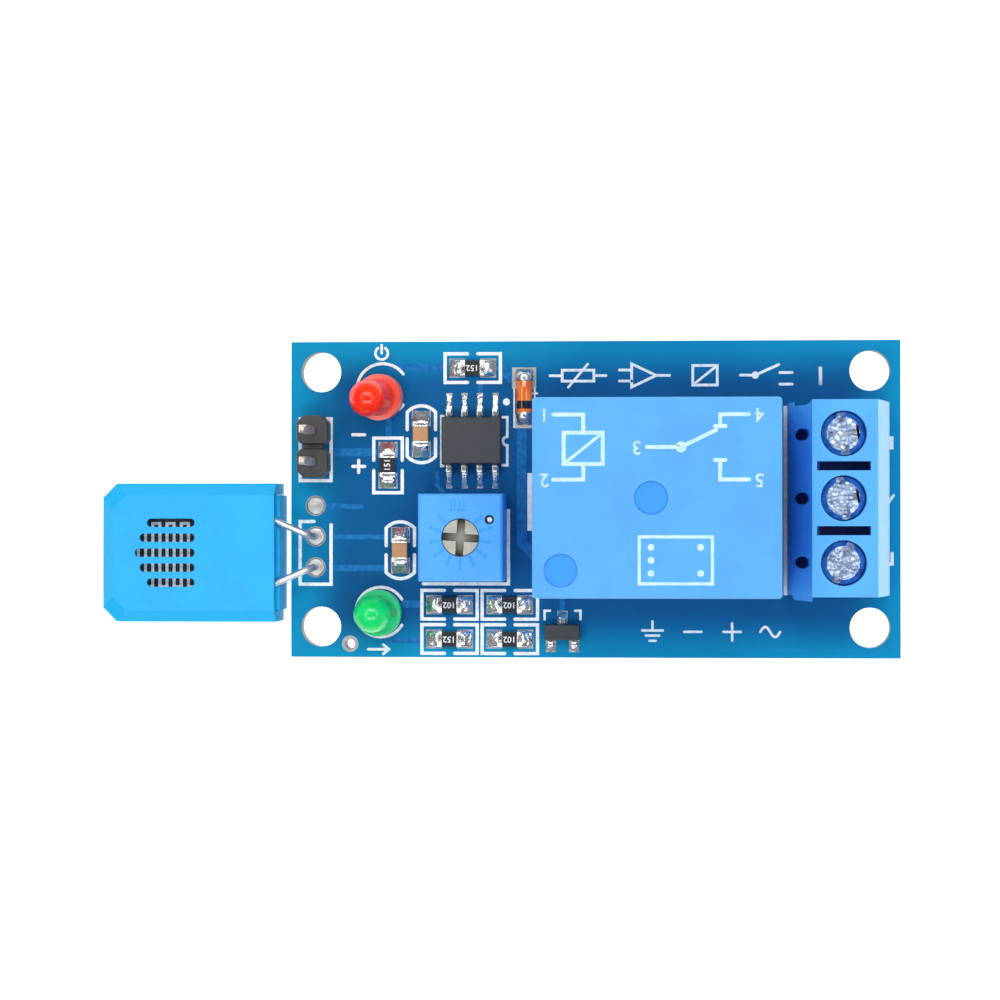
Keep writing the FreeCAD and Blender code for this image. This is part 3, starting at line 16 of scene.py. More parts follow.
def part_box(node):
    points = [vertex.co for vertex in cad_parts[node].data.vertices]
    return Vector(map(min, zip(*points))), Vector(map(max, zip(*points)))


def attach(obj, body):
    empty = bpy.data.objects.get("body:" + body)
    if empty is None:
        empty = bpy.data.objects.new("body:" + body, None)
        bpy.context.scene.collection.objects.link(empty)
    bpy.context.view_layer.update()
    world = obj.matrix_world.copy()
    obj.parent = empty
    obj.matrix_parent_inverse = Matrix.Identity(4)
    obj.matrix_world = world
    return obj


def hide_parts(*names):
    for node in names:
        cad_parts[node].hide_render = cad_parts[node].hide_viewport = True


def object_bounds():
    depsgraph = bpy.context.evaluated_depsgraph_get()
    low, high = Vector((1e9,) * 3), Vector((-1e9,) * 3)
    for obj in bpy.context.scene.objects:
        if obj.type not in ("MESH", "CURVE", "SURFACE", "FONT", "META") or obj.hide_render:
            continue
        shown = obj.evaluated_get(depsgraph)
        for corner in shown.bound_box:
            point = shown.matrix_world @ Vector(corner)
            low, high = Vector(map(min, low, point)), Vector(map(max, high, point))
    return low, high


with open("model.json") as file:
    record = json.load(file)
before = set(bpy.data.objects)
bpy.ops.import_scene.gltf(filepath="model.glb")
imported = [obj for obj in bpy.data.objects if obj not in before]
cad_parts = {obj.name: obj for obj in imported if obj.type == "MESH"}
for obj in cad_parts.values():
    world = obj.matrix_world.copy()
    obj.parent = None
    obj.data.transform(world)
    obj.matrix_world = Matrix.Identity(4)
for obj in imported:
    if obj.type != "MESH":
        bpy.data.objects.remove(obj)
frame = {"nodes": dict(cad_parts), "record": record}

cad_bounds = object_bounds()
MM = 0.001
nodes = frame["nodes"]
board_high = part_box("circuit_board")[1]
BOARD_TOP = board_high.z
print("board top", BOARD_TOP, "nodes", len(nodes))


def placed(name, data):
    """A new object in the scene, with its data."""
    item = bpy.data.objects.new(name, data)
    bpy.context.scene.collection.objects.link(item)
    return item



# %% [markdown]
# ## The camera and the light
# The module is seen straight from above, from a point over the relay, so tall
# parts lean a little outwards. A long lens 240 mm above the board gives that lean,
# and the camera is turned by about four degrees so that the whole module is framed.
# The lens shift could frame it as well, but it would stay on in every other view.
# Two long strip lamps and two short ones stand around the line of sight.

# %% Camera
CAMERA_DISTANCE = 240 * MM
CAMERA_X, CAMERA_Y = 8.16 * MM, -1.75 * MM
FRAME_CENTRE_X, FRAME_CENTRE_Y = -7.72 * MM, -0.06 * MM
FRAME_WIDTH = 82.04 * MM
SENSOR_WIDTH = 36

camera_data = bpy.data.cameras.new("camera")
camera_data.sensor_width = SENSOR_WIDTH
camera_data.lens = SENSOR_WIDTH * CAMERA_DISTANCE / FRAME_WIDTH
camera_data.clip_start = 0.01
camera = placed("camera", camera_data)
camera.location = (CAMERA_X, CAMERA_Y, BOARD_TOP + CAMERA_DISTANCE)
camera.rotation_euler = (
    math.atan2(FRAME_CENTRE_Y - CAMERA_Y, CAMERA_DISTANCE),
    math.atan2(CAMERA_X - FRAME_CENTRE_X, CAMERA_DISTANCE),
    0,
)
bpy.context.scene.camera = camera
bpy.context.scene.view_settings.view_transform = "Standard"
print("lens", round(camera_data.lens, 1), "mm")

# %% Lamps
def strip_lamp(name, place, length, width, power):
    """A soft long lamp at a place, turned towards the module."""
    lamp = bpy.data.lights.new(name, "AREA")
    lamp.shape = "RECTANGLE"
    lamp.size = length
    lamp.size_y = width
    lamp.energy = power
    item = placed(name, lamp)
    item.location = place
    item.rotation_mode = "QUATERNION"
    away = Vector(place).normalized()
    across = Vector((1, 0, 0)) if abs(place[1]) > abs(place[0]) else Vector((0, 1, 0))
    item.rotation_quaternion = Matrix((across, away.cross(across), away)).transposed().to_quaternion()


strip_lamp("back_strip", (0, 0.24, 0.50), 0.50, 0.14, 1.40)
strip_lamp("front_strip", (0, -0.24, 0.50), 0.50, 0.14, 1.25)
strip_lamp("right_strip", (0.32, 0, 0.48), 0.30, 0.10, 0.45)
strip_lamp("left_strip", (-0.32, 0, 0.48), 0.30, 0.10, 0.45)
print("lamps", len(bpy.data.lights))

# %% [markdown]
# ## The studio
# It is white, with a dark gap overhead where the camera stands. Glossy flat faces
# mirror that gap, so their colours stay deep. In an all white studio every flat
# top would look veiled. A colour ramp over the height of the sky makes the gap.

# %% Node helpers and the sky
GAP_START, GAP_END, GAP_LEVEL, STUDIO_STRENGTH = 0.930, 0.955, 0.05, 0.30


def add_node(tree, kind, inputs=None, **properties):
    """A new node. Each input takes a value, or a link from another node's socket."""
    node = tree.nodes.new(kind)
    for key, level in properties.items():
        setattr(node, key, level)
    for key, source in (inputs or {}).items():
        if isinstance(source, bpy.types.NodeSocket):
            tree.links.new(source, node.inputs[key])
        else:
            node.inputs[key].default_value = source
    return node


def ramp_node(tree, low, high, first, second):
    """A colour ramp from one linear colour to another."""
    ramp = add_node(tree, "ShaderNodeValToRGB")
    for end, place, colour in zip(ramp.color_ramp.elements, (low, high), (first, second)):
        end.position = place
        end.color = colour
    return ramp


world = bpy.data.worlds.new("studio")
world.use_nodes = True
bpy.context.scene.world = world
sky = world.node_tree
direction = add_node(sky, "ShaderNodeTexCoord")
heights = add_node(sky, "ShaderNodeSeparateXYZ", {"Vector": direction.outputs["Generated"]})
gap = ramp_node(sky, GAP_START, GAP_END, (1, 1, 1, 1), (GAP_LEVEL, GAP_LEVEL, GAP_LEVEL, 1))
sky.links.new(heights.outputs["Z"], gap.inputs["Fac"])
sky.links.new(gap.outputs["Color"], sky.nodes["Background"].inputs["Color"])
sky.nodes["Background"].inputs["Strength"].default_value = STUDIO_STRENGTH
print("sky nodes", len(sky.nodes))

# %% [markdown]
# ## Finishes
# A finish could be one flat colour, but no moulded or plated face is that even.
# So each starts from one shader, fine noise breaks up its colour and gloss, and
# a second noise drives the bump. Colours are written as they look in the picture
# and turned to linear light. A small class keeps the calls for the nodes short.

# %% Finish helpers
NOISE_ROUGHNESS = 0.55


def linear(red, green, blue):
    """A colour as seen on screen (0 to 255) as linear light."""
    def one(level):
        level /= 255
        return level / 12.92 if level <= 0.04045 else ((level + 0.055) / 1.055) ** 2.4
    return (one(red), one(green), one(blue), 1.0)


class Finish:
    """A material with its shader, and short calls for the nodes that feed it."""

    def __init__(self, name, colour, roughness, **sockets):
        self.material = bpy.data.materials.new(name)
        self.material.use_nodes = True
        self.tree = self.material.node_tree
        self.shader = self.tree.nodes["Principled BSDF"]
        self.set("Base Color", linear(*colour))
        self.set("Roughness", roughness)
        for socket, level in sockets.items():
            self.set(socket.replace("_", " "), level)
        self.place = self.add("ShaderNodeTexCoord").outputs["Object"]

    def set(self, socket, level):
        self.shader.inputs[socket].default_value = level

    def add(self, kind, inputs=None, **properties):
        return add_node(self.tree, kind, inputs, **properties)

    def link(self, source, target):
        self.tree.links.new(source, target)

    def noise(self, scale, detail, stretch=None):
        """Noise of so many waves a metre, stretched along an axis where asked."""
        place = self.place
        if stretch:
            place = self.add("ShaderNodeMapping", {"Vector": place, "Scale": stretch}).outputs["Vector"]
        inputs = {"Vector": place, "Scale": scale, "Detail": detail, "Roughness": NOISE_ROUGHNESS}
        return self.add("ShaderNodeTexNoise", inputs).outputs["Fac"]

    def shade(self, factor, dark, light, low=0.35, high=0.65):
        """Spread two colours over a factor and feed them to the base colour."""
        ramp = ramp_node(self.tree, low, high, linear(*dark), linear(*light))
        self.link(factor, ramp.inputs["Fac"])
        self.paint(ramp.outputs["Color"])
        return ramp.outputs["Color"]

    def uneven(self, factor, low, high):
        """Let the roughness wander between two levels."""
        node = self.add("ShaderNodeMapRange", {"Value": factor, "To Min": low, "To Max": high})
        self.link(node.outputs["Result"], self.shader.inputs["Roughness"])

    def bump(self, factor, depth):
        """Raise and lower the surface by a depth in metres."""
        node = self.add("ShaderNodeBump", {"Height": factor, "Strength": 1.0, "Distance": depth})
        self.link(node.outputs["Normal"], self.shader.inputs["Normal"])

    def paint(self, source):
        """Let a colour socket be the base colour."""
        self.link(source, self.shader.inputs["Base Color"])

    def maths(self, operation, *sources):
        """One sum on sockets or plain numbers."""
        return self.add("ShaderNodeMath", dict(enumerate(sources)), operation=operation).outputs[0]

    def axis(self, name, source=None):
        """The X, Y or Z of the place on the piece, or of another vector."""
        return self.add("ShaderNodeSeparateXYZ", {"Vector": source or self.place}).outputs[name]

    def mix(self, factor, first, second):
        """Blend two colour sockets or colours by a factor socket."""
        inputs = {"Factor": factor, 6: first, 7: second}
        return self.add("ShaderNodeMix", inputs, data_type="RGBA").outputs[2]

    def inside(self, low, high):
        """One inside a box of the piece's own space, zero outside it."""
        factor = 1.0
        for name, start, end in zip("XYZ", low, high):
            off = self.maths("ABSOLUTE", self.maths("SUBTRACT", self.axis(name), (start + end) / 2))
            factor = self.maths("MULTIPLY", factor, self.maths("LESS_THAN", off, (end - start) / 2))
        return factor

    def upward(self):
        """How far a face looks up: one on top, zero on a wall."""
        facing = self.add("ShaderNodeNewGeometry")
        return self.axis("Z", facing.outputs["Normal"])

    def limit(self, value, low, high):
        """Zero below low, one above high, smooth between."""
        inputs = {"Value": value, "From Min": low, "From Max": high}
        node = self.add("ShaderNodeMapRange", inputs, interpolation_type="SMOOTHSTEP")
        return node.outputs["Result"]


def moulded(name, colour, roughness, depth, coat, glow=0.0, slant_shade=None, boxes=()):
    """Moulded plastic: faint clouding, a fine skin and a thin gloss over it.

    Slanted faces may be painted darker, and so may what lies in a box, such as a deep slot: both are
    painted shade."""
    finish = Finish(name, colour, roughness, Coat_Weight=coat, Coat_Roughness=0.2)
    if glow:
        finish.set("Subsurface Weight", glow)
        finish.set("Subsurface Radius", (0.2, 0.5, 1.0))
        finish.set("Subsurface Scale", 0.6 * MM)
    dark = tuple(level * 0.975 for level in colour)
    light = tuple(min(255, level * 1.02) for level in colour)
    skin = finish.shade(finish.noise(260, 4), dark, light)
    # Painted shade: slanted faces take their own darker colour.
    if slant_shade:
        skin = finish.mix(finish.limit(finish.upward(), 0.90, 0.985), linear(*slant_shade), skin)
    # Painted shade: inside each box the colour turns darker.
    for low, high, tint in boxes:
        skin = finish.mix(finish.inside(low, high), skin, linear(*tint))
    finish.paint(skin)
    finish.uneven(finish.noise(900, 2), roughness * 0.85, roughness * 1.15)
    finish.bump(finish.noise(9000, 3), depth * MM)
    return finish.material


def plated(name, colour, roughness, depth):
    """Plated or drawn metal: clouded a little, with fine marks in its skin."""
    finish = Finish(name, colour, roughness, Metallic=1.0)
    dark = tuple(level * 0.86 for level in colour)
    finish.shade(finish.noise(900, 4), dark, colour, 0.3, 0.6)
    finish.uneven(finish.noise(2500, 3), roughness * 0.7, roughness * 1.4)
    finish.bump(finish.noise(7000, 3), depth * MM)
    return finish.material


def adjust(material, **sockets):
    """Set further sockets of a finished material's shader."""
    shader = material.node_tree.nodes["Principled BSDF"]
    for socket, level in sockets.items():
        shader.inputs[socket.replace("_", " ")].default_value = level


print("middle grey on screen as linear light", round(linear(128, 128, 128)[0], 3))


# %% [markdown]
# ## Painted shade in slots and holes
# Little light reaches the bottom of a narrow slot or hole, so the real ones look
# navy. A dark lid would hide how deep they are. Instead the plastic's own finish
# is painted darker inside a few boxes, as painted shade, so the walls darken while
# the rims stay bright. The round dips in the relay's top are painted a touch darker
# than the top around them, as painted shade too.

# %% Painted shade in the deep slots of the terminal block and in the relay's top
relay_low, relay_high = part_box("relay_cover")
COVER_WALL, RECESS_TOP = 1.0 * MM, 0.05 * MM
inset = Vector((COVER_WALL, COVER_WALL, 0))
# Painted shade: the relay's top is darker below its top face, inside the walls.
recess_shade = [(relay_low + inset, relay_high - inset - Vector((0, 0, RECESS_TOP)), (44, 150, 240))]
terminal_low, terminal_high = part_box("terminal_housing")
HALF_PITCH = 2.54 * MM
SLOT_START, SLOT_END, SLOT_HALF, SLOT_TOP = 2.3 * MM, 7.0 * MM, 0.6 * MM, 1.5 * MM
PROBE_INSET, PROBE_HALF, PROBE_END, PROBE_TOP = 0.95 * MM, 0.55 * MM, 1.8 * MM, 4.8 * MM
hollow_shade = []
for side in (-1, 1):
    slot_y = (terminal_low.y + terminal_high.y) / 2 + side * HALF_PITCH
    near = (terminal_low.x + SLOT_START, slot_y - SLOT_HALF, terminal_low.z)
    far = (terminal_low.x + SLOT_END, slot_y + SLOT_HALF, terminal_high.z - SLOT_TOP)
    # Painted shade: the wire slot is dark navy inside.
    hollow_shade.append((near, far, (2, 28, 120)))
probe_x = terminal_low.x + PROBE_INSET
near = (probe_x - PROBE_HALF, terminal_low.y + PROBE_END, terminal_low.z)
far = (probe_x + PROBE_HALF, terminal_high.y - PROBE_END, BOARD_TOP + PROBE_TOP)
# Painted shade: the probe hole is dark inside.
hollow_shade.append((near, far, (3, 46, 132)))
print("tinted boxes in the terminal block", len(hollow_shade))

# %% Mark hole of the trimmer, painted dark round the bright dot in it: painted shade
trimmer_low, trimmer_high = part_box("trimmer_housing")
MARK_X, MARK_Y, MARK_RADIUS, MARK_DEPTH = 2.36 * MM, 1.45 * MM, 0.34 * MM, 0.40 * MM
MARK_BELOW, MARK_RIM = 0.05 * MM, 0.02 * MM
mark = (trimmer_low + trimmer_high) / 2 + Vector((MARK_X, MARK_Y, 0))
mark.z = trimmer_high.z - MARK_DEPTH
mark_reach = Vector((MARK_RADIUS, MARK_RADIUS, 0)) * 1.05
near = mark - mark_reach - Vector((0, 0, MARK_BELOW))
far = mark + mark_reach + Vector((0, 0, MARK_DEPTH - MARK_RIM))
# Painted shade: the mark hole is dark round the bright dot.
mark_hole_shade = [(near, far, (10, 44, 84))]
print("mark hole at", [round(level / MM, 2) for level in mark], "mm")

# %% [markdown]
# ## One finish for each material
# The relay, the terminal block, the trimmer and the sensor are each a blue of their
# own, a few levels apart, and matt or glossy in their own way. So each material
# has a line with its colour, roughness and depth of skin, under the name that the
# record gives its slot. The screw heads look beaten: the cells of a Voronoi
# pattern give their plating its small dents.

# %% The finishes
FINISH_OF_SLOT = {
    "relay_case": moulded("relay_plastic", (80, 168, 240), 0.42, 0.012, 0.05, glow=0.04, boxes=recess_shade),
    "terminal_plastic": moulded("terminal_plastic", (78, 172, 246), 0.42, 0.008, 0.06, boxes=hollow_shade),
    "trimmer_plastic": moulded("trimmer_plastic", (74, 168, 246), 0.44, 0.006, 0.04, boxes=mark_hole_shade),
    # The sensor's slanted faces are painted darker: painted shade.
    "sensor_shell": moulded("sensor_plastic", (48, 176, 244), 0.52, 0.014, 0.0, slant_shade=(0, 172, 234)),
    "sensor_resin": moulded("sensor_cast", (34, 176, 240), 0.5, 0.006, 0.0),
    "header_plastic": moulded("header_black", (56, 58, 60), 0.42, 0.006, 0.1),
    "relay_base_resin": moulded("base_resin", (60, 62, 66), 0.5, 0.006, 0.0),
    "bobbin_plastic": moulded("bobbin_resin", (60, 62, 66), 0.5, 0.006, 0.0),
    "chip_moulding": moulded("chip_black", (56, 58, 62), 0.62, 0.008, 0.0),
    "resistor_glaze": moulded("resistor_black", (38, 38, 42), 0.30, 0.004, 0.4),
    "capacitor_ceramic": moulded("capacitor_body", (188, 138, 94), 0.5, 0.008, 0.05),
    "substrate": moulded("ceramic_white", (244, 246, 246), 0.5, 0.006, 0.0),
    "tinned_lead": plated("tinned", (215, 216, 218), 0.25, 0.003),
    "solder": plated("solder_metal", (222, 224, 228), 0.20, 0.02),
    "clamp_steel": plated("clamp_steel", (190, 194, 198), 0.30, 0.004),
    "relay_iron": plated("relay_iron", (170, 172, 176), 0.35, 0.004),
    "contact_brass": plated("brass", (214, 178, 104), 0.28, 0.004),
    "copper_wire": plated("copper", (196, 112, 66), 0.30, 0.004),
}
# A matt skin: the walls are seen at a low angle, where a gloss would turn them grey
adjust(FINISH_OF_SLOT["sensor_resin"], Specular_IOR_Level=0.08)
adjust(FINISH_OF_SLOT["sensor_shell"], Specular_IOR_Level=0.2)
# Painted light: the element is given a faint glow of its own, standing for light that comes through the
# thin shell in life
adjust(FINISH_OF_SLOT["substrate"], Emission_Color=linear(170, 215, 240), Emission_Strength=0.22)
tinned_wire = plated("tinned_wire", (228, 230, 232), 0.40, 0.002)
header_pin = plated("header_pin", (226, 216, 200), 0.44, 0.002)
pad_tin = plated("pad_tin", (176, 178, 176), 0.42, 0.012)
print("slots with a finish so far", len(FINISH_OF_SLOT))

# %% Beaten steel of the screw heads
screw = Finish("screw_steel", (182, 202, 228), 0.30, Metallic=1.0)
screw.shade(screw.noise(1500, 4), (132, 158, 194), (206, 224, 250), 0.3, 0.6)
facets = screw.add("ShaderNodeTexVoronoi", {"Vector": screw.place, "Scale": 2600})
screw.bump(facets.outputs["Distance"], 0.05 * MM)
FINISH_OF_SLOT["screw_steel"] = screw.material
print("nodes of the beaten steel", len(screw.tree.nodes))

# %% [markdown]
# ## The trimmer's rotor
# It is pale plastic with a cross slot, and shade gathers at the ends of the
# slot's arms. A dark piece could be laid in the slot, but the colour is mixed by
# height and by the distance from the axis instead: no seam, and it turns along.

# %% Rotor of the trimmer
rotor_low, rotor_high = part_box("trimmer_rotor")
rotor = Finish("rotor_plastic", (172, 169, 156), 0.45)
rotor_face = rotor.shade(rotor.noise(700, 4), (160, 157, 146), (188, 185, 172))
ROTOR_SLOT_DEPTH = 0.6 * MM
slot_middle = (rotor_low + rotor_high) / 2
slot_middle.z = rotor_high.z - ROTOR_SLOT_DEPTH
from_middle = rotor.add("ShaderNodeVectorMath", {0: rotor.place, 1: slot_middle}, operation="DISTANCE")
arm_end = rotor.limit(from_middle.outputs["Value"], 0.2 * MM, 1.5 * MM)
# Painted shade: the slot is darker than the face, and darkest at the ends of its arms.
rotor_slot_shade = rotor.mix(arm_end, linear(146, 142, 132), linear(74, 66, 56))
on_top = rotor.limit(rotor.axis("Z"), rotor_high.z - 0.10 * MM, rotor_high.z - 0.03 * MM)
rotor.paint(rotor.mix(on_top, rotor_slot_shade, rotor_face))
rotor.bump(rotor.noise(9000, 3), 0.006 * MM)
FINISH_OF_SLOT["rotor_plastic"] = rotor.material
print("rotor top at", round(rotor_high.z / MM, 2), "mm")

# %% [markdown]
# ## Carbon print, lenses and glass
# The combs of the humidity element are printed carbon, dull and nearly black. The
# lamps are cast in milky epoxy. Real refraction would need many bounces of light
# and still show grain, so light scatters just under the skin instead. The diode's
# band is painted on its glass, so it is a change of colour over part of its length.

# %% Printed carbon for the combs
comb_finish = Finish("comb_carbon", (24, 28, 38), 0.6)
comb_finish.shade(comb_finish.noise(4000, 4), (14, 18, 28), (34, 38, 48))
comb_finish.bump(comb_finish.noise(12000, 3), 0.01 * MM)
FINISH_OF_SLOT["comb_print"] = comb_finish.material
print("nodes of the carbon print", len(comb_finish.tree.nodes))

# %% Diffused lamp lenses
def lens_finish(name, node, colour, deep, foot, foot_height):
    """Tinted, slightly milky epoxy: light scatters inside it and the skin is glossy.

    The thin flange at its foot is painted paler, as painted light for the light that comes through the thin
    epoxy there, so the colour deepens with height."""
    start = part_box(node)[0].z
    finish = Finish(name, colour, 0.22, IOR=1.5, Specular_IOR_Level=0.45, Subsurface_Weight=0.45,
                    Subsurface_Radius=(1.0, 0.8, 0.6), Subsurface_Scale=0.8 * MM)
    tint = finish.shade(finish.noise(700, 3), deep, colour, 0.3, 0.6)
    foot_height *= MM
    rise = finish.limit(finish.axis("Z"), start + 0.5 * foot_height, start + 1.5 * foot_height)
    # Painted light: the foot colour is paler, for light through the thin flange.
    finish.paint(finish.mix(rise, linear(*foot), tint))
    finish.bump(finish.noise(2600, 2), 0.004 * MM)
    return finish.material


# The foot colours are painted light: paler where light comes through the thin flange.
FINISH_OF_SLOT["red_lens"] = lens_finish(
    "red_epoxy", "power_led_lens", (255, 52, 4), (240, 30, 2), foot=(252, 124, 116), foot_height=1.6)
FINISH_OF_SLOT["green_lens"] = lens_finish(
    "green_epoxy", "status_led_lens", (4, 218, 116), (2, 190, 92), foot=(74, 206, 150), foot_height=1.3)
print("lenses", FINISH_OF_SLOT["red_lens"].name, FINISH_OF_SLOT["green_lens"].name)

# %% Glass of the diode, with its dark band at one end
glass = Finish("diode_glass", (242, 120, 40), 0.10, Coat_Weight=0.6, Coat_Roughness=0.04,
               Subsurface_Weight=0.3, Subsurface_Scale=0.4 * MM)
diode_low, diode_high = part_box("diode_glass")
BAND_PLACE, BAND_HALF = 0.24, 0.33 * MM
band_y = diode_low.y + BAND_PLACE * (diode_high.y - diode_low.y)
off_band = glass.maths("ABSOLUTE", glass.maths("SUBTRACT", glass.axis("Y"), band_y))
in_band = glass.maths("LESS_THAN", off_band, BAND_HALF)
amber = glass.shade(glass.noise(900, 2), (220, 84, 18), (244, 128, 40))
glass.paint(glass.mix(in_band, amber, linear(34, 26, 26)))
FINISH_OF_SLOT["diode_glass"] = glass.material
print("band at y", round(band_y / MM, 2), "mm")

# %% [markdown]
# ## Solder mask over copper
# The board is pressed glass fibre with a blue lacquer on both faces. The cut
# walls, the edges and the holes, show the brown laminate. Two materials would
# need the faces sorted, but one can ask which way a face looks. The weave is
# felt through the lacquer. Towards the board's edges the lacquer is painted
# lighter, as painted light: light from the white sheet below shines through the
# laminate there. Copper is drawn as low raised areas further down.

# %% Board finish
board = Finish("solder_mask", (4, 90, 146), 0.36, Specular_IOR_Level=0.12)
weave = {"Vector": board.place, "Scale": 1600, "Distortion": 1.2}
threads = [board.add("ShaderNodeTexWave", weave, bands_direction=name).outputs["Fac"] for name in "XY"]
board.bump(board.maths("MULTIPLY", *threads), 0.004 * MM)
deep = board.shade(board.noise(60, 5), (0, 80, 134), (3, 92, 150))
# Painted light: the lacquer turns lighter towards the board's edges.
edge_light = 0.0
for name, half, start in (("X", board_high.x, 0.80), ("Y", board_high.y, 0.70)):
    off = board.maths("ABSOLUTE", board.axis(name))
    edge_light = board.maths("MAXIMUM", edge_light, board.limit(off, half * start, half))
lacquer = board.mix(edge_light, deep, linear(2, 138, 186))
fibre = board.shade(board.noise(2600, 3, stretch=(1, 1, 8)), (128, 104, 66), (186, 164, 112), 0, 1)
flat = board.limit(board.maths("ABSOLUTE", board.upward()), 0.4, 0.7)
board.paint(board.mix(flat, fibre, lacquer))
FINISH_OF_SLOT["board_laminate"] = board.material
print("nodes of the board", len(board.tree.nodes))

# %% [markdown]
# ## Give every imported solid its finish
# The record says which slot each node takes. The finish goes on the node's own
# material slot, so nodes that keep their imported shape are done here.

# %% Dress the nodes
slot_of_node = {row["node"]: row["material_slot"] for row in frame["record"]["subparts"]}
body_of_node = {}
for body, row in frame["record"]["behaviour"]["bodies"].items():
    for node in row:
        body_of_node[node] = body
for node, slot in slot_of_node.items():
    for holder in nodes[node].material_slots:
        holder.material = FINISH_OF_SLOT[slot]
print("dressed", len(slot_of_node), "nodes with", len(bpy.data.materials), "finishes")

# %% [markdown]
# ## Soften the edges of the moulded pieces
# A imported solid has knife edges, while real mouldings catch a line of light
# along theirs. Each edge could be picked by hand, but a Bevel modifier finds them
# by their angle. It needs a clean shape, so a copy of the node is welded and its
# flat areas are joined up first. The copy then stands for the node, with the same
# outline to a few hundredths of a millimetre.

# %% Softened copies
def new_piece(name, mesh, finish, body):
    """An object at the origin from a mesh, with its finish, body and slot."""
    item = placed(name, mesh)
    mesh.materials.clear()
    mesh.materials.append(finish)
    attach(item, body)
    return item


def evaluated(item):
    """The mesh that an object's modifiers or its curve give."""
    bpy.context.view_layer.update()
    graph = bpy.context.evaluated_depsgraph_get()
    return bpy.data.meshes.new_from_object(item.evaluated_get(graph), depsgraph=graph)


def applied(item):
    """Turn an object's modifiers into a plain mesh of the object's name."""
    mesh = evaluated(item)
    mesh.name = item.name
    item.modifiers.clear()
    item.data = mesh


def softened(node, width, angle=28, finish=None):
    """A copy of a node with small rounds on its edges, standing for the node."""
    mesh = nodes[node].data.copy()
    shape = bmesh.new()
    shape.from_mesh(mesh)
    bmesh.ops.remove_doubles(shape, verts=shape.verts, dist=0.002 * MM)
    bmesh.ops.dissolve_limit(shape, angle_limit=math.radians(1.0), verts=shape.verts, edges=shape.edges)
    for face in shape.faces:
        face.smooth = True
    for edge in shape.edges:
        edge.smooth = True
    shape.to_mesh(mesh)
    shape.free()
    slot = slot_of_node[node]
    item = new_piece("soft_" + node, mesh, finish or FINISH_OF_SLOT[slot], body_of_node[node])
    rounding = item.modifiers.new("round", "BEVEL")
    rounding.width = width * MM
    rounding.segments = 2
    rounding.limit_method = "ANGLE"
    rounding.angle_limit = math.radians(angle)
    rounding.use_clamp_overlap = True
    flats = item.modifiers.new("flats", "WEIGHTED_NORMAL")
    flats.weight = 100
    applied(item)
    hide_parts(node)


for node, width in (
    ("relay_cover", 0.10),
    ("terminal_housing", 0.07),
    ("trimmer_housing", 0.10),
    ("trimmer_rotor", 0.05),
    ("sensor_cover", 0.10),
    ("sensor_back", 0.08),
    ("header_body", 0.10),
    ("comparator_body", 0.05),
    ("transistor_body", 0.05),
):
    softened(node, width)
for count in ("one", "two", "three"):
    softened("terminal_screw_" + count, 0.04)
for node in ("comparator_leads", "transistor_leads", "chip_end_caps"):
    softened(node, 0.03)
softened("header_pins", 0.06, finish=header_pin)
softened("sensor_lead_upper", 0.02, angle=60, finish=tinned_wire)
softened("sensor_lead_lower", 0.02, angle=60, finish=tinned_wire)
for node in ("power_led_lens", "status_led_lens", "diode_glass", "diode_caps"):
    softened(node, 0.03, angle=45)
for slot_word in ("divider", "power_led", "base", "pull_up", "status_led", "bleed"):
    softened(slot_word + "_resistor", 0.03)
for slot_word in ("supply", "filter"):
    softened(slot_word + "_capacitor", 0.05)

# %% [markdown]
# ## What lies flat on the board
# Copper under the lacquer, tinned pads and white print are a few hundredths of a
# millimetre thick. A picture could be laid on the board, but low solids stay sharp
# from near by and catch the light at their rims. One class draws them all from
# bars, discs, rings, strokes and figures. Places are in millimetres from the
# centre of the hole pattern.

# %% Flat shapes
LEVELS, LEVEL_STEP = 11, 0.0004 * MM


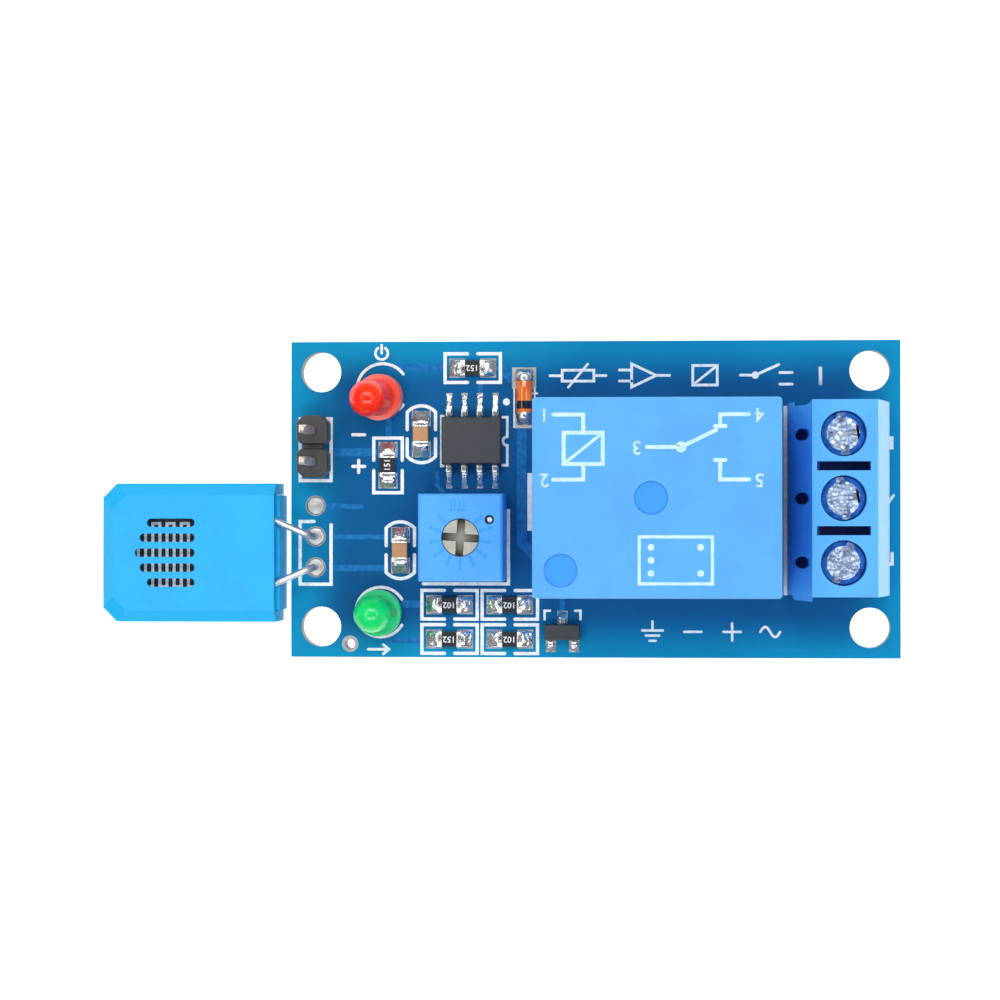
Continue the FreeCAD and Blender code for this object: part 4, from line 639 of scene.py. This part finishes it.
class Flat:
    """Low solids of one finish. Their tops differ by a hair, so none coincide."""

    def __init__(self, low, high):
        self.low = low
        self.high = high
        self.count = 0
        self.shape = bmesh.new()

    def prism(self, loop):
        """A flat solid over an outline that runs anticlockwise."""
        area = sum(a[0] * b[1] - b[0] * a[1] for a, b in zip(loop, loop[1:] + loop[:1]))
        if area < 0:
            loop = loop[::-1]
        self.count += 1
        top = self.high - (self.count * 3 % LEVELS) * LEVEL_STEP
        foot = [self.shape.verts.new((x * MM, y * MM, self.low)) for x, y in loop]
        head = [self.shape.verts.new((x * MM, y * MM, top)) for x, y in loop]
        self.shape.faces.new(head)
        self.shape.faces.new(foot[::-1])
        for index in range(len(loop)):
            after = (index + 1) % len(loop)
            self.shape.faces.new((foot[index], foot[after], head[after], head[index]))

    def bar(self, x0, y0, x1, y1):
        self.prism([(x0, y0), (x1, y0), (x1, y1), (x0, y1)])

    def disc(self, x, y, radius, sides=28):
        self.prism(arc(x, y, radius, 0, 360, sides)[:-1])

    def ring(self, x, y, inner, outer, sides=36):
        """A flat ring made of short four-sided pieces."""
        near = arc(x, y, inner, 0, 360, sides)
        far = arc(x, y, outer, 0, 360, sides)
        for index in range(sides):
            self.prism([near[index], far[index], far[index + 1], near[index + 1]])

    def line(self, points, width, closed=False):
        """A stroke of one width with mitred corners and half round ends."""
        count = len(points)
        spans = count if closed else count - 1
        normals = []
        for index in range(spans):
            (x0, y0), (x1, y1) = points[index], points[(index + 1) % count]
            normals.append(Vector((y0 - y1, x1 - x0)).normalized())
        left, right = [], []
        for index, (x, y) in enumerate(points):
            before = normals[index - 1] if index or closed else normals[0]
            normal = (before + normals[min(index, spans - 1)]).normalized()
            reach = width / 2 / max(0.35, normal.dot(before))
            left.append((x + normal.x * reach, y + normal.y * reach))
            right.append((x - normal.x * reach, y - normal.y * reach))
        for index in range(spans):
            after = (index + 1) % count
            self.prism([left[index], right[index], right[after], left[after]])
        if not closed:
            for x, y in (points[0], points[-1]):
                self.disc(x, y, width / 2, 12)

    def digits(self, words, x, y, height, turn=180):
        """Plain figures, centred on a place and turned."""
        curve = bpy.data.curves.new("figures", "FONT")
        curve.body = words
        curve.size = height * MM
        curve.align_x = "CENTER"
        curve.align_y = "CENTER"
        curve.offset = height * MM * 0.02
        curve.resolution_u = 3
        item = placed("figures", curve)
        mesh = evaluated(item)
        place = Matrix.Translation((x * MM, y * MM, 0)) @ Matrix.Rotation(math.radians(turn), 4, "Z")
        part = bmesh.new()
        part.from_mesh(mesh)
        bmesh.ops.transform(part, matrix=place, verts=part.verts)
        for vertex in part.verts:
            vertex.co.z = self.low
        raised = bmesh.ops.extrude_face_region(part, geom=part.faces[:])
        for thing in raised["geom"]:
            if isinstance(thing, bmesh.types.BMVert):
                thing.co.z = self.high
        part.to_mesh(mesh)
        part.free()
        self.shape.from_mesh(mesh)
        bpy.data.objects.remove(item)
        bpy.data.curves.remove(curve)
        bpy.data.meshes.remove(mesh)

    def finish(self, name, material, body, slot):
        mesh = bpy.data.meshes.new(name)
        bmesh.ops.recalc_face_normals(self.shape, faces=self.shape.faces)
        self.shape.to_mesh(mesh)
        self.shape.free()
        new_piece(name, mesh, material, body)


def arc(x, y, radius, start, end, sides):
    """Points on a circle from one angle to another, in degrees."""
    points = []
    for index in range(sides + 1):
        angle = math.radians(start + (end - start) * index / sides)
        points.append((x + radius * math.cos(angle), y + radius * math.sin(angle)))
    return points


# %% [markdown]
# ## Copper and pads
# Copper only shows as a lighter path through the lacquer. Pads are bare of
# lacquer and tinned dull. Both are tables of places, read by the same few calls,
# because a table is easier to check against the real board than many lines.

# %% Finishes of copper and print
copper_under = Finish("copper_under_lacquer", (12, 104, 172), 0.34, Specular_IOR_Level=0.2)
copper_under.shade(copper_under.noise(2400, 5), (4, 96, 160), (24, 118, 184))
copper_under.bump(copper_under.noise(5000, 3), 0.006 * MM)
ink = Finish("white_print", (236, 240, 242), 0.7)
ink.shade(ink.noise(2600, 4), (214, 222, 228), (246, 248, 250), 0.3, 0.6)
ink.bump(ink.noise(9000, 2), 0.008 * MM)
print("finishes", len(bpy.data.materials))

# %% Copper areas under the lacquer
tracks = Flat(BOARD_TOP, BOARD_TOP + 0.018 * MM)
TRACKS = (
    (0.50, [(-16.8, 10.88), (-12.2, 10.88)]),
    (0.45, [(-16.92, 6.7), (-16.92, 5.2)]),
    (0.66, [(-21.5, 3.89), (-18.1, 3.89)]),
    (0.40, [(-21.9, -0.50), (-19.2, -0.62)]),
    (0.40, [(-21.9, -3.09), (-17.1, -3.09)]),
    (0.50, [(-21.9, -5.66), (-17.1, -5.66)]),
    (0.60, [(-15.6, -8.62), (-14.1, -8.62)]),
    (0.40, [(-9.35, 9.4), (-9.35, 8.6)]),
    (0.80, [(-5.93, 5.9), (-5.93, -3.6), (-4.2, -5.3)]),
    (0.70, [(-7.7, 10.9), (-6.8, 9.9)]),
    (0.45, [(-2.58, -9.6), (-2.58, -8.1)]),
    (0.45, [(-9.4, 7.9), (-9.4, 6.9)]),
    (0.50, [(-14.1, -11.6), (-17.2, -11.6)]),
    (0.35, [(-12.9, 3.8), (-14.2, 3.8), (-14.2, 4.2)]),
    (0.35, [(-12.4, 0.6), (-12.9, 1.2), (-12.9, 2.2)]),
)
for width, points in TRACKS:
    tracks.line(points, width)
tracks.finish("copper_tracks", copper_under.material, "module", "board_laminate")
print("track solids", tracks.count)

# %% Tinned pads
pads = Flat(BOARD_TOP, BOARD_TOP + 0.03 * MM)
ROUND_PADS = [(-22.97, -0.52), (-22.97, -3.06), (-22.97, -5.60), (-22.97, 5.59), (-22.97, 3.05)]
for x, y in ROUND_PADS:
    pads.ring(x, y, 0.50, 0.83)
pads.ring(-20.10, -11.90, 0.42, 0.68)
ACROSS = ((-9.97, 10.80), (-11.88, -8.67), (-6.91, -8.67), (-11.88, -11.49), (-6.91, -11.49))
UPRIGHT = ((-16.97, 2.82), (-14.22, 5.38), (-15.94, -4.18))
PAD_FAR, PAD_NEAR, PAD_HALF = 1.92, 0.62, 0.78
for x, y in ACROSS:
    for side in (-1, 1):
        pads.bar(x + side * PAD_NEAR, y - PAD_HALF, x + side * PAD_FAR, y + PAD_HALF)
for x, y in UPRIGHT:
    for side in (-1, 1):
        pads.bar(x - PAD_HALF, y + side * PAD_NEAR, x + PAD_HALF, y + side * PAD_FAR)
COMPARATOR_X = [-11.905, -10.635, -9.365, -8.095]
TRANSISTOR_X, FOOT_STEP, DIODE_X = -2.58, 0.95, -5.69
for x in COMPARATOR_X:
    pads.bar(x - 0.25, 6.9, x + 0.25, 8.75)
    pads.bar(x - 0.25, 0.90, x + 0.25, 2.75)
pads.bar(-6.72, 9.1, -4.74, 10.84)
pads.bar(-6.60, 5.85, -4.80, 7.0)
for x, y in ((TRANSISTOR_X - FOOT_STEP, -11.95), (TRANSISTOR_X + FOOT_STEP, -11.95),
             (TRANSISTOR_X, -9.75)):
    pads.bar(x - 0.42, y - 0.6, x + 0.42, y + 0.6)
pads.finish("tinned_pads", pad_tin, "module", "solder")
print("pad solids", pads.count)

# %% [markdown]
# ## White print
# It shows where each part goes: split frames for chips, round-ended ones for
# capacitors, and a circle for each lamp that stays open at the lamp's flat side.
# Most strokes have one width, and all have mitred corners, as on the real board.
# Two helpers draw the frames that come several times.

# %% White print
legend = Flat(BOARD_TOP, BOARD_TOP + 0.036 * MM)
LINE = 0.27


def split_frame(x, y, half_x, half_y, gap, along_x):
    """A printed frame round a chip, open for a short way at mid length."""
    near = gap / 2
    for side in (-1, 1):
        if along_x:
            legend.line([(x + side * near, y + half_y), (x + side * half_x, y + half_y),
                         (x + side * half_x, y - half_y), (x + side * near, y - half_y)], LINE)
        else:
            legend.line([(x - half_x, y + side * near), (x - half_x, y + side * half_y),
                         (x + half_x, y + side * half_y), (x + half_x, y + side * near)], LINE)


def split_pill(x, y, half_x, half_y, gap):
    """A printed round-ended frame round a capacitor, open at mid length."""
    radius = half_x * 1.35
    sweep = math.degrees(math.asin(half_x / radius))
    for side in (-1, 1):
        centre = y + side * (half_y - radius)
        curve = arc(x, centre, radius, 90 * side + sweep, 90 * side - sweep, 12)
        open_y = y + side * gap / 2
        legend.line([(curve[0][0], open_y)] + curve + [(curve[-1][0], open_y)], LINE)


for x, y in ACROSS:
    split_frame(x, y, 2.28, 1.18, 0.85, True)
split_frame(-16.97, 2.80, 1.18, 2.25, 0.85, False)
split_pill(-14.21, 5.36, 1.17, 2.34, 0.75)
split_pill(-15.95, -4.19, 1.17, 2.34, 0.75)
legend.line([(-24.26, 6.65), (-21.69, 6.65), (-21.69, 1.55), (-24.26, 1.55)], LINE, closed=True)
legend.line([(-23.1, -1.82), (-24.26, -1.82), (-24.26, -7.0), (-21.69, -7.0), (-21.69, -2.1)], LINE)
legend.line([(-12.4, 6.85), (-12.55, 6.85), (-12.55, 2.75), (-12.4, 2.75)], LINE * 0.8)
notch = arc(-7.12, 4.79, 0.36, 90, 270, 8)
legend.line([(-7.5, 6.75), (-7.12, 6.75)] + notch + [(-7.12, 2.80), (-7.5, 2.80)], LINE * 0.8)
legend.disc(-7.19, 8.01, 0.29)
legend.line([(-14.05, -6.95), (-7.02, -6.95), (-7.02, -0.9)], LINE)
LAMP_FLAT, FLAT_GAP = 1.95, 13
for x, y, radius in ((-17.42, 9.06, 2.13), (-17.58, -9.29, 2.05)):
    turn = math.degrees(math.acos(LAMP_FLAT / radius)) + FLAT_GAP
    legend.line(arc(x, y, radius, turn, 360 - turn, 40), LINE * 0.9)
legend.bar(-5.47, -2.58, -5.05, 2.15)
legend.bar(15.50, -7.85, 15.80, 7.62)
for x in (-4.05, -1.10):
    inward = 0.45 if x < TRANSISTOR_X else -0.45
    legend.line([(x, -9.85), (x, -9.15), (x + inward, -9.15)], 0.2)
legend.line([(-5.90, 8.70), (-4.66, 8.70)], 0.16)
legend.line([(-6.55, 9.1), (-6.55, 5.95)], 0.14)
legend.line([(-4.86, 9.1), (-4.86, 5.95)], 0.14)
legend.bar(24.10, 4.05, 24.42, 5.12)
legend.line([(24.02, -0.28), (24.42, 0.30)], 0.22)
legend.line([(24.30, -4.42), (24.30, -5.30), (24.05, -5.30)], 0.26)
print("print solids so far", legend.count)

# %% [markdown]
# ## Plain signs
# Where a board is lettered, this one has drawn signs: minus, plus, power and an
# arrow by the parts, then a sensor, an amplifier, a relay coil, a switch and a 1 in
# a row, and ground, minus, plus and alternating current at the foot.

# %% Plain signs in place of the lettering
ROW, FOOT = 10.15, -10.85
BROAD, PLAIN, SLIM = 0.26, 0.22, 0.20
SIGNS = (
    ("minus", BROAD, False, [(-19.9, 5.33), (-18.9, 5.33)]),
    ("plus", BROAD, False, [(-19.9, 2.72), (-18.9, 2.72)]),
    ("plus", BROAD, False, [(-19.4, 2.22), (-19.4, 3.22)]),
    ("power", SLIM, False, arc(-17.5, 12.05, 0.52, -235, 55, 16)),
    ("power", SLIM, False, [(-17.5, 12.05), (-17.5, 12.72)]),
    ("arrow", PLAIN, False, [(-18.6, -12.35), (-16.9, -12.35)]),
    ("arrow", PLAIN, False, [(-17.35, -11.98), (-16.9, -12.35), (-17.35, -12.72)]),
    ("sensor", PLAIN, False, [(-3.6, ROW), (-2.6, ROW)]),
    ("sensor", PLAIN, True, [(-2.6, ROW - 0.45), (-2.6, ROW + 0.45), (0.0, ROW + 0.45), (0.0, ROW - 0.45)]),
    ("sensor", PLAIN, False, [(0.0, ROW), (1.0, ROW)]),
    ("sensor", SLIM, False, [(-2.1, ROW - 0.95), (-0.5, ROW + 0.95)]),
    ("amplifier", PLAIN, True, [(3.1, ROW - 0.95), (3.1, ROW + 0.95), (5.1, ROW)]),
    ("amplifier", PLAIN, False, [(5.1, ROW), (6.2, ROW)]),
    ("amplifier", PLAIN, False, [(2.1, ROW + 0.45), (3.1, ROW + 0.45)]),
    ("amplifier", PLAIN, False, [(2.1, ROW - 0.45), (3.1, ROW - 0.45)]),
    ("coil", PLAIN, True, [(8.1, ROW - 0.8), (8.1, ROW + 0.8), (10.1, ROW + 0.8), (10.1, ROW - 0.8)]),
    ("coil", SLIM, False, [(8.1, ROW - 0.8), (10.1, ROW + 0.8)]),
    ("switch", PLAIN, False, [(12.0, ROW), (13.2, ROW), (15.1, ROW + 0.85)]),
    ("switch", PLAIN, False, [(15.2, ROW + 0.2), (16.2, ROW + 0.2)]),
    ("switch", PLAIN, False, [(15.2, ROW - 0.75), (16.2, ROW - 0.75)]),
)
drawn = set()
for sign, width, closed, points in SIGNS:
    legend.line(points, width, closed)
    drawn.add(sign)
print("signs", sorted(drawn))
legend.ring(13.2, ROW, 0.10, 0.30, sides=16)
legend.digits("1", 18.5, ROW, 2.1)
for index, half in enumerate((0.85, 0.55, 0.25)):
    height = FOOT + 0.1 - index * 0.42
    legend.line([(4.8 - half, height), (4.8 + half, height)], SLIM)
wave = [(13.6 + 0.1 * step, FOOT + 0.42 * math.sin(step * math.pi / 8)) for step in range(17)]
for points in (
    [(4.8, FOOT + 0.1), (4.8, FOOT + 0.85)],
    [(7.4, FOOT), (8.8, FOOT)],
    [(10.6, FOOT), (12.0, FOOT)],
    [(11.3, FOOT - 0.7), (11.3, FOOT + 0.7)],
    wave,
):
    legend.line(points, SLIM)
legend.finish("white_legend", ink.material, "module", "board_laminate")
print("print solids", legend.count)

# %% [markdown]
# ## Solder
# At a chip's end solder climbs the metal cap and runs out to the end of the pad.
# Some thirty joints shaped by hand would take long, and plain copies would all
# look alike. So one mound is shaped once, Geometry Nodes set a copy at each joint,
# turned and sized, and noise then pushes the skin about. The same tree makes the
# round joints.

# %% A mound, a bead and their spread over the joints
def settled(shape, name):
    """A smooth mesh from a shape that is done."""
    for face in shape.faces:
        face.smooth = True
    mesh = bpy.data.meshes.new(name)
    shape.to_mesh(mesh)
    shape.free()
    return mesh


def mound_mesh(steps=10):
    """A unit mound: x from 0 at the joint to 1, y from -1 to 1, height 1."""
    shape = bmesh.new()
    rows = []
    for row in range(steps + 1):
        along = row / steps
        line = []
        for column in range(steps + 1):
            across = 2 * column / steps - 1
            pinch = math.sqrt(max(0.0, 1 - (along * 0.96) ** 3))
            height = (1 - along ** 1.5) * (1 - abs(across) ** 3.5) ** 0.5
            line.append(shape.verts.new((along, across * (0.78 + 0.22 * pinch), height)))
        rows.append(line)
    for near, far in zip(rows, rows[1:]):
        for column in range(steps):
            shape.faces.new((near[column], far[column], far[column + 1], near[column + 1]))
    edge = [item for item in shape.edges if item.is_boundary]
    wall = bmesh.ops.extrude_edge_only(shape, edges=edge)
    for item in wall["geom"]:
        if isinstance(item, bmesh.types.BMVert):
            item.co.z = -0.02
    bmesh.ops.recalc_face_normals(shape, faces=shape.faces)
    return settled(shape, "mound")


def bead_mesh(sides=28, rings=7):
    """A unit round bead: a low dome with a small rise at its middle."""
    shape = bmesh.new()
    loops = []
    for ring in range(1, rings + 1):
        radius = ring / rings
        height = 0.72 * math.sqrt(max(0.0, 1 - radius ** 3)) + 0.28 * (1 - radius) ** 2
        points = arc(0, 0, radius, 0, 360, sides)[:-1]
        loops.append([shape.verts.new((x, y, height if ring < rings else 0)) for x, y in points])
    top = shape.verts.new((0, 0, 1))
    for side in range(sides):
        after = (side + 1) % sides
        shape.faces.new((top, loops[0][side], loops[0][after]))
        for inner, outer in zip(loops, loops[1:]):
            shape.faces.new((inner[side], outer[side], outer[after], inner[after]))
    shape.faces.new(loops[-1][::-1])
    return settled(shape, "bead")


def spread_tree():
    """Copies of a shape on points, sized and turned by the points, then roughened."""
    tree = bpy.data.node_groups.new("spread_solder", "GeometryNodeTree")
    for name, way, kind in (
        ("Geometry", "INPUT", "Geometry"),
        ("Shape", "INPUT", "Object"),
        ("Roughening", "INPUT", "Float"),
        ("Grain", "INPUT", "Float"),
        ("Finish", "INPUT", "Material"),
        ("Geometry", "OUTPUT", "Geometry"),
    ):
        tree.interface.new_socket(name, in_out=way, socket_type="NodeSocket" + kind)

    def add(kind, output, inputs=None, **properties):
        return add_node(tree, kind, inputs, **properties).outputs[output]

    def field(name):
        kind = "GeometryNodeInputNamedAttribute"
        return add(kind, "Attribute", {"Name": name}, data_type="FLOAT_VECTOR")

    given = add_node(tree, "NodeGroupInput").outputs
    points = add("GeometryNodeMeshToPoints", "Points", {"Mesh": given["Geometry"]})
    shape = add("GeometryNodeObjectInfo", "Geometry", {"Object": given["Shape"]})
    inputs = {"Points": points, "Instance": shape, "Rotation": field("turn"), "Scale": field("measure")}
    copies = add("GeometryNodeInstanceOnPoints", "Instances", inputs)
    real = add("GeometryNodeRealizeInstances", "Geometry", {"Geometry": copies})
    finer = add("GeometryNodeSubdivideMesh", "Mesh", {"Mesh": real, "Level": 1})
    noise = add("ShaderNodeTexNoise", "Fac", {"Scale": given["Grain"], "Detail": 2.0})
    centred = add("ShaderNodeMath", 0, {0: noise, 1: 0.45}, operation="SUBTRACT")
    depth = add("ShaderNodeMath", 0, {0: centred, 1: given["Roughening"]}, operation="MULTIPLY")
    normal = add("GeometryNodeInputNormal", "Normal")
    along = add("ShaderNodeVectorMath", "Vector", {0: normal, "Scale": depth}, operation="SCALE")
    moved = add("GeometryNodeSetPosition", "Geometry", {"Geometry": finer, "Offset": along})
    inputs = {"Geometry": moved, "Material": given["Finish"]}
    done = add("GeometryNodeSetMaterial", "Geometry", inputs)
    add_node(tree, "NodeGroupOutput", {"Geometry": done})
    return tree


SPREAD = spread_tree()


def spread(name, shape_mesh, joints, roughening, grain, finish):
    """A copy at each joint: its place, turn about Z in degrees, and three measures in mm."""
    mesh = bpy.data.meshes.new(name + "_joints")
    mesh.from_pydata([Vector(place) * MM for place, turn, size in joints], [], [])
    turns = mesh.attributes.new("turn", "FLOAT_VECTOR", "POINT")
    sizes = mesh.attributes.new("measure", "FLOAT_VECTOR", "POINT")
    for index, (place, turn, size) in enumerate(joints):
        turns.data[index].vector = (0, 0, math.radians(turn))
        sizes.data[index].vector = Vector(size) * MM
    item = placed(name, mesh)
    shape = placed(name + "_shape", shape_mesh)
    work = item.modifiers.new("spread", "NODES")
    work.node_group = SPREAD
    given = {"Shape": shape, "Roughening": roughening * MM, "Grain": grain, "Finish": finish}
    for socket in SPREAD.interface.items_tree:
        if socket.in_out == "INPUT" and socket.name in given:
            work[socket.identifier] = given[socket.name]
    applied(item)
    bpy.data.objects.remove(shape)
    return item


print("nodes of the spread tree", len(SPREAD.nodes))


# %% Surface joints
TOP = BOARD_TOP / MM
PAD_FACE = TOP + 0.02
CHIP_END, CHIP_LENGTH, CHIP_HALF = 0.93, 0.98, 0.74
RESISTOR_RISE, CAPACITOR_RISE = 0.46, 0.66
COMPARATOR_LEAD, TRANSISTOR_LEAD = (0.96, 0.25, 0.24), (0.62, 0.40, 0.34)
LEAD_INSET, FOOT_INSET = 0.12, 0.15
joints = []
for x, y in ACROSS:
    for side, turn in ((-1, 180), (1, 0)):
        size = (CHIP_LENGTH, CHIP_HALF, RESISTOR_RISE)
        joints.append(((x + side * CHIP_END, y, PAD_FACE), turn, size))
for x, y in UPRIGHT:
    rise = RESISTOR_RISE if (x, y) == UPRIGHT[0] else CAPACITOR_RISE
    for side, turn in ((-1, 270), (1, 90)):
        joints.append(((x, y + side * CHIP_END, PAD_FACE), turn, (CHIP_LENGTH, CHIP_HALF, rise)))
lead_low, lead_high = (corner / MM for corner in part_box("comparator_leads"))
for x in COMPARATOR_X:
    for toe, turn in ((lead_high.y - LEAD_INSET, 90), (lead_low.y + LEAD_INSET, 270)):
        joints.append(((x, toe, PAD_FACE), turn, COMPARATOR_LEAD))
lead_low, lead_high = (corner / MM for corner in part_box("transistor_leads"))
joints.append(((TRANSISTOR_X, lead_high.y - FOOT_INSET, PAD_FACE), 90, TRANSISTOR_LEAD))
for x in (TRANSISTOR_X - FOOT_STEP, TRANSISTOR_X + FOOT_STEP):
    joints.append(((x, lead_low.y + FOOT_INSET, PAD_FACE), 270, TRANSISTOR_LEAD))
cap_low, cap_high = (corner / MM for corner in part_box("diode_caps"))
joints.append(((DIODE_X, cap_high.y - LEAD_INSET, PAD_FACE), 90, (0.62, 0.76, 0.70)))
joints.append(((DIODE_X, cap_low.y + LEAD_INSET, PAD_FACE), 270, (0.62, 0.70, 0.60)))
print("surface joints", len(joints))
surface_joints = spread("solder_joints", mound_mesh(), joints, 0.16, 2100.0, FINISH_OF_SLOT["solder"])
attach(surface_joints, "module")
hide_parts("surface_solder")

# %% Round joints on the top face
BEAD_TURN, BEAD_SIZE = 40, (0.80, 0.80, 0.20)
beads = [((x, y, TOP), BEAD_TURN * index, BEAD_SIZE) for index, (x, y) in enumerate(ROUND_PADS[:3])]
round_joints = spread("round_joints", bead_mesh(), beads, 0.05, 900.0, pad_tin)
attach(round_joints, "module")
print("round joints", len(beads))

# %% [markdown]
# ## Small marks on the parts
# The resistors carry value figures, the trimmer an embossed dial round its rotor
# and a bright dot in its mark hole, and the relay a plain diagram of its coil and
# changeover contact with pin numbers, and a plan of its pins. Figures, dial and
# diagram stand out from their faces by less than a hundredth of a millimetre, so
# they are drawn with the same strokes as the print on the board.

# %% Figures on the resistors
SUNK, PROUD = 0.004 * MM, 0.006 * MM
resistor_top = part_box("divider_resistor")[1].z
chip_print = Flat(resistor_top - SUNK, resistor_top + PROUD)
FIGURES = ("152", "102", "102", "152", "102")
FIGURE_HEIGHT = 0.70
for (x, y), words in zip(ACROSS, FIGURES):
    chip_print.digits(words, x, y, FIGURE_HEIGHT, 180)
chip_print.digits("151", UPRIGHT[0][0], UPRIGHT[0][1], FIGURE_HEIGHT, 90)
chip_print.finish("chip_figures", ink.material, "module", "resistor_glaze")
print("resistors with figures", len(FIGURES) + 1)

# %% Dial of the trimmer
dial_blue = moulded("dial_blue", (46, 152, 238), 0.5, 0.006, 0.0)
dial = Flat(trimmer_high.z - SUNK, trimmer_high.z + PROUD)
dial_x = (rotor_low.x + rotor_high.x) / 2 / MM
dial_y = (rotor_low.y + rotor_high.y) / 2 / MM
DIAL_MARKS, DIAL_STEP = 11, 27
NEAR_END, SHORT_END, LONG_END, DOT_PLACE = 1.72, 2.15, 2.45, 2.50


def on_dial(radius, angle):
    """A place at a distance from the rotor's axis."""
    return dial_x + radius * math.cos(angle), dial_y + radius * math.sin(angle)


for index in range(DIAL_MARKS):
    angle = math.radians(-90 + (index - DIAL_MARKS // 2) * DIAL_STEP)
    dotted = index % 2
    far = SHORT_END if dotted else LONG_END
    dial.line([on_dial(NEAR_END, angle), on_dial(far, angle)], 0.26)
    if dotted:
        dial.disc(*on_dial(DOT_PLACE, angle), 0.17, 12)
for offset in (-0.75, -0.45, 0.0, 0.3):
    dial.line([(dial_x + offset, dial_y + 2.35), (dial_x + offset, dial_y + 3.0)], 0.13)
dial.line([(dial_x - 0.9, dial_y + 2.2), (dial_x + 0.55, dial_y + 2.2)], 0.12)
dial.finish("trimmer_dial", dial_blue, "module", "trimmer_plastic")
print("dial solids", dial.count)

# %% Bright dot in the trimmer's mark hole
dot = [(mark / MM, 0, (0.23, 0.23, 0.10))]
mark_dot = spread("mark_dot", bead_mesh(), dot, 0.02, 2100.0, ink.material)
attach(mark_dot, "module")
print("faces of the dot", len(mark_dot.data.polygons))

# %% Diagram on the relay
pale = Finish("pale_ink", (196, 232, 252), 0.6)
pale.shade(pale.noise(1800, 4), (176, 220, 248), (212, 240, 254))
diagram = Flat(relay_high.z - SUNK, relay_high.z + 0.008 * MM)
PEN = 0.30
diagram.line([(-1.8, 5.0), (-1.8, 2.6), (1.2, 2.6), (1.2, 5.0)], PEN, closed=True)
diagram.line([(-1.8, 2.6), (1.2, 5.0)], PEN * 0.8)
diagram.line([(-0.3, 5.0), (-0.3, 6.4), (-2.6, 6.4)], PEN)
diagram.line([(-0.3, 2.6), (-0.3, 1.4), (-2.6, 1.4)], PEN)
diagram.line([(4.6, 3.9), (7.2, 3.9), (9.9, 5.2)], PEN)
diagram.ring(7.2, 3.9, 0.14, 0.42, sides=18)
diagram.line([(10.2, 5.5), (10.2, 6.4), (12.4, 6.4)], PEN)
diagram.line([(10.2, 2.9), (10.2, 1.4), (12.4, 1.4)], PEN)
diagram.line([(9.8, 5.5), (10.6, 5.5)], PEN)
diagram.line([(9.8, 2.9), (10.6, 2.9)], PEN)
PIN_NUMBERS = (("1", -3.3, 6.4), ("2", -3.3, 1.4), ("3", 3.8, 3.9), ("4", 13.2, 6.4), ("5", 13.2, 1.4))
for words, x, y in PIN_NUMBERS:
    diagram.digits(words, x, y, 1.5)
diagram.line([(4.0, -3.0), (4.0, -6.6), (9.6, -6.6), (9.6, -3.0)], PEN * 0.8, closed=True)
for x, y in ((4.9, -3.8), (4.9, -5.8), (4.9, -4.8), (8.7, -3.8), (8.7, -5.8)):
    diagram.disc(x, y, 0.26, 16)
diagram.finish("relay_diagram", pale.material, "module", "relay_case")
print("diagram solids", diagram.count)

# %% [markdown]
# ## The floor
# A plain white sheet lies under the solder and the clipped lead ends. Paper lit
# only from above would turn grey and take shadows. It glows a little instead, as
# on a light table, so hardly any shadow shows on it.

# %% Floor
FLOOR_GAP, REACH = 0.0001, 0.6  # in metres
floor_z = cad_bounds[0][2] - FLOOR_GAP
floor_mesh = bpy.data.meshes.new("floor")
corners = [(x * REACH, y * REACH, floor_z) for x, y in ((-1, -1), (1, -1), (1, 1), (-1, 1))]
floor_mesh.from_pydata(corners, [], [(0, 1, 2, 3)])
floor = placed("floor", floor_mesh)
paper = Finish("white_paper", (250, 250, 250), 0.85,
               Emission_Color=(1, 1, 1, 1), Emission_Strength=0.85)
paper.shade(paper.noise(30, 3), (246, 246, 246), (252, 252, 252))
floor_mesh.materials.append(paper.material)
print("floor at", round(floor_z / MM, 2), "mm")
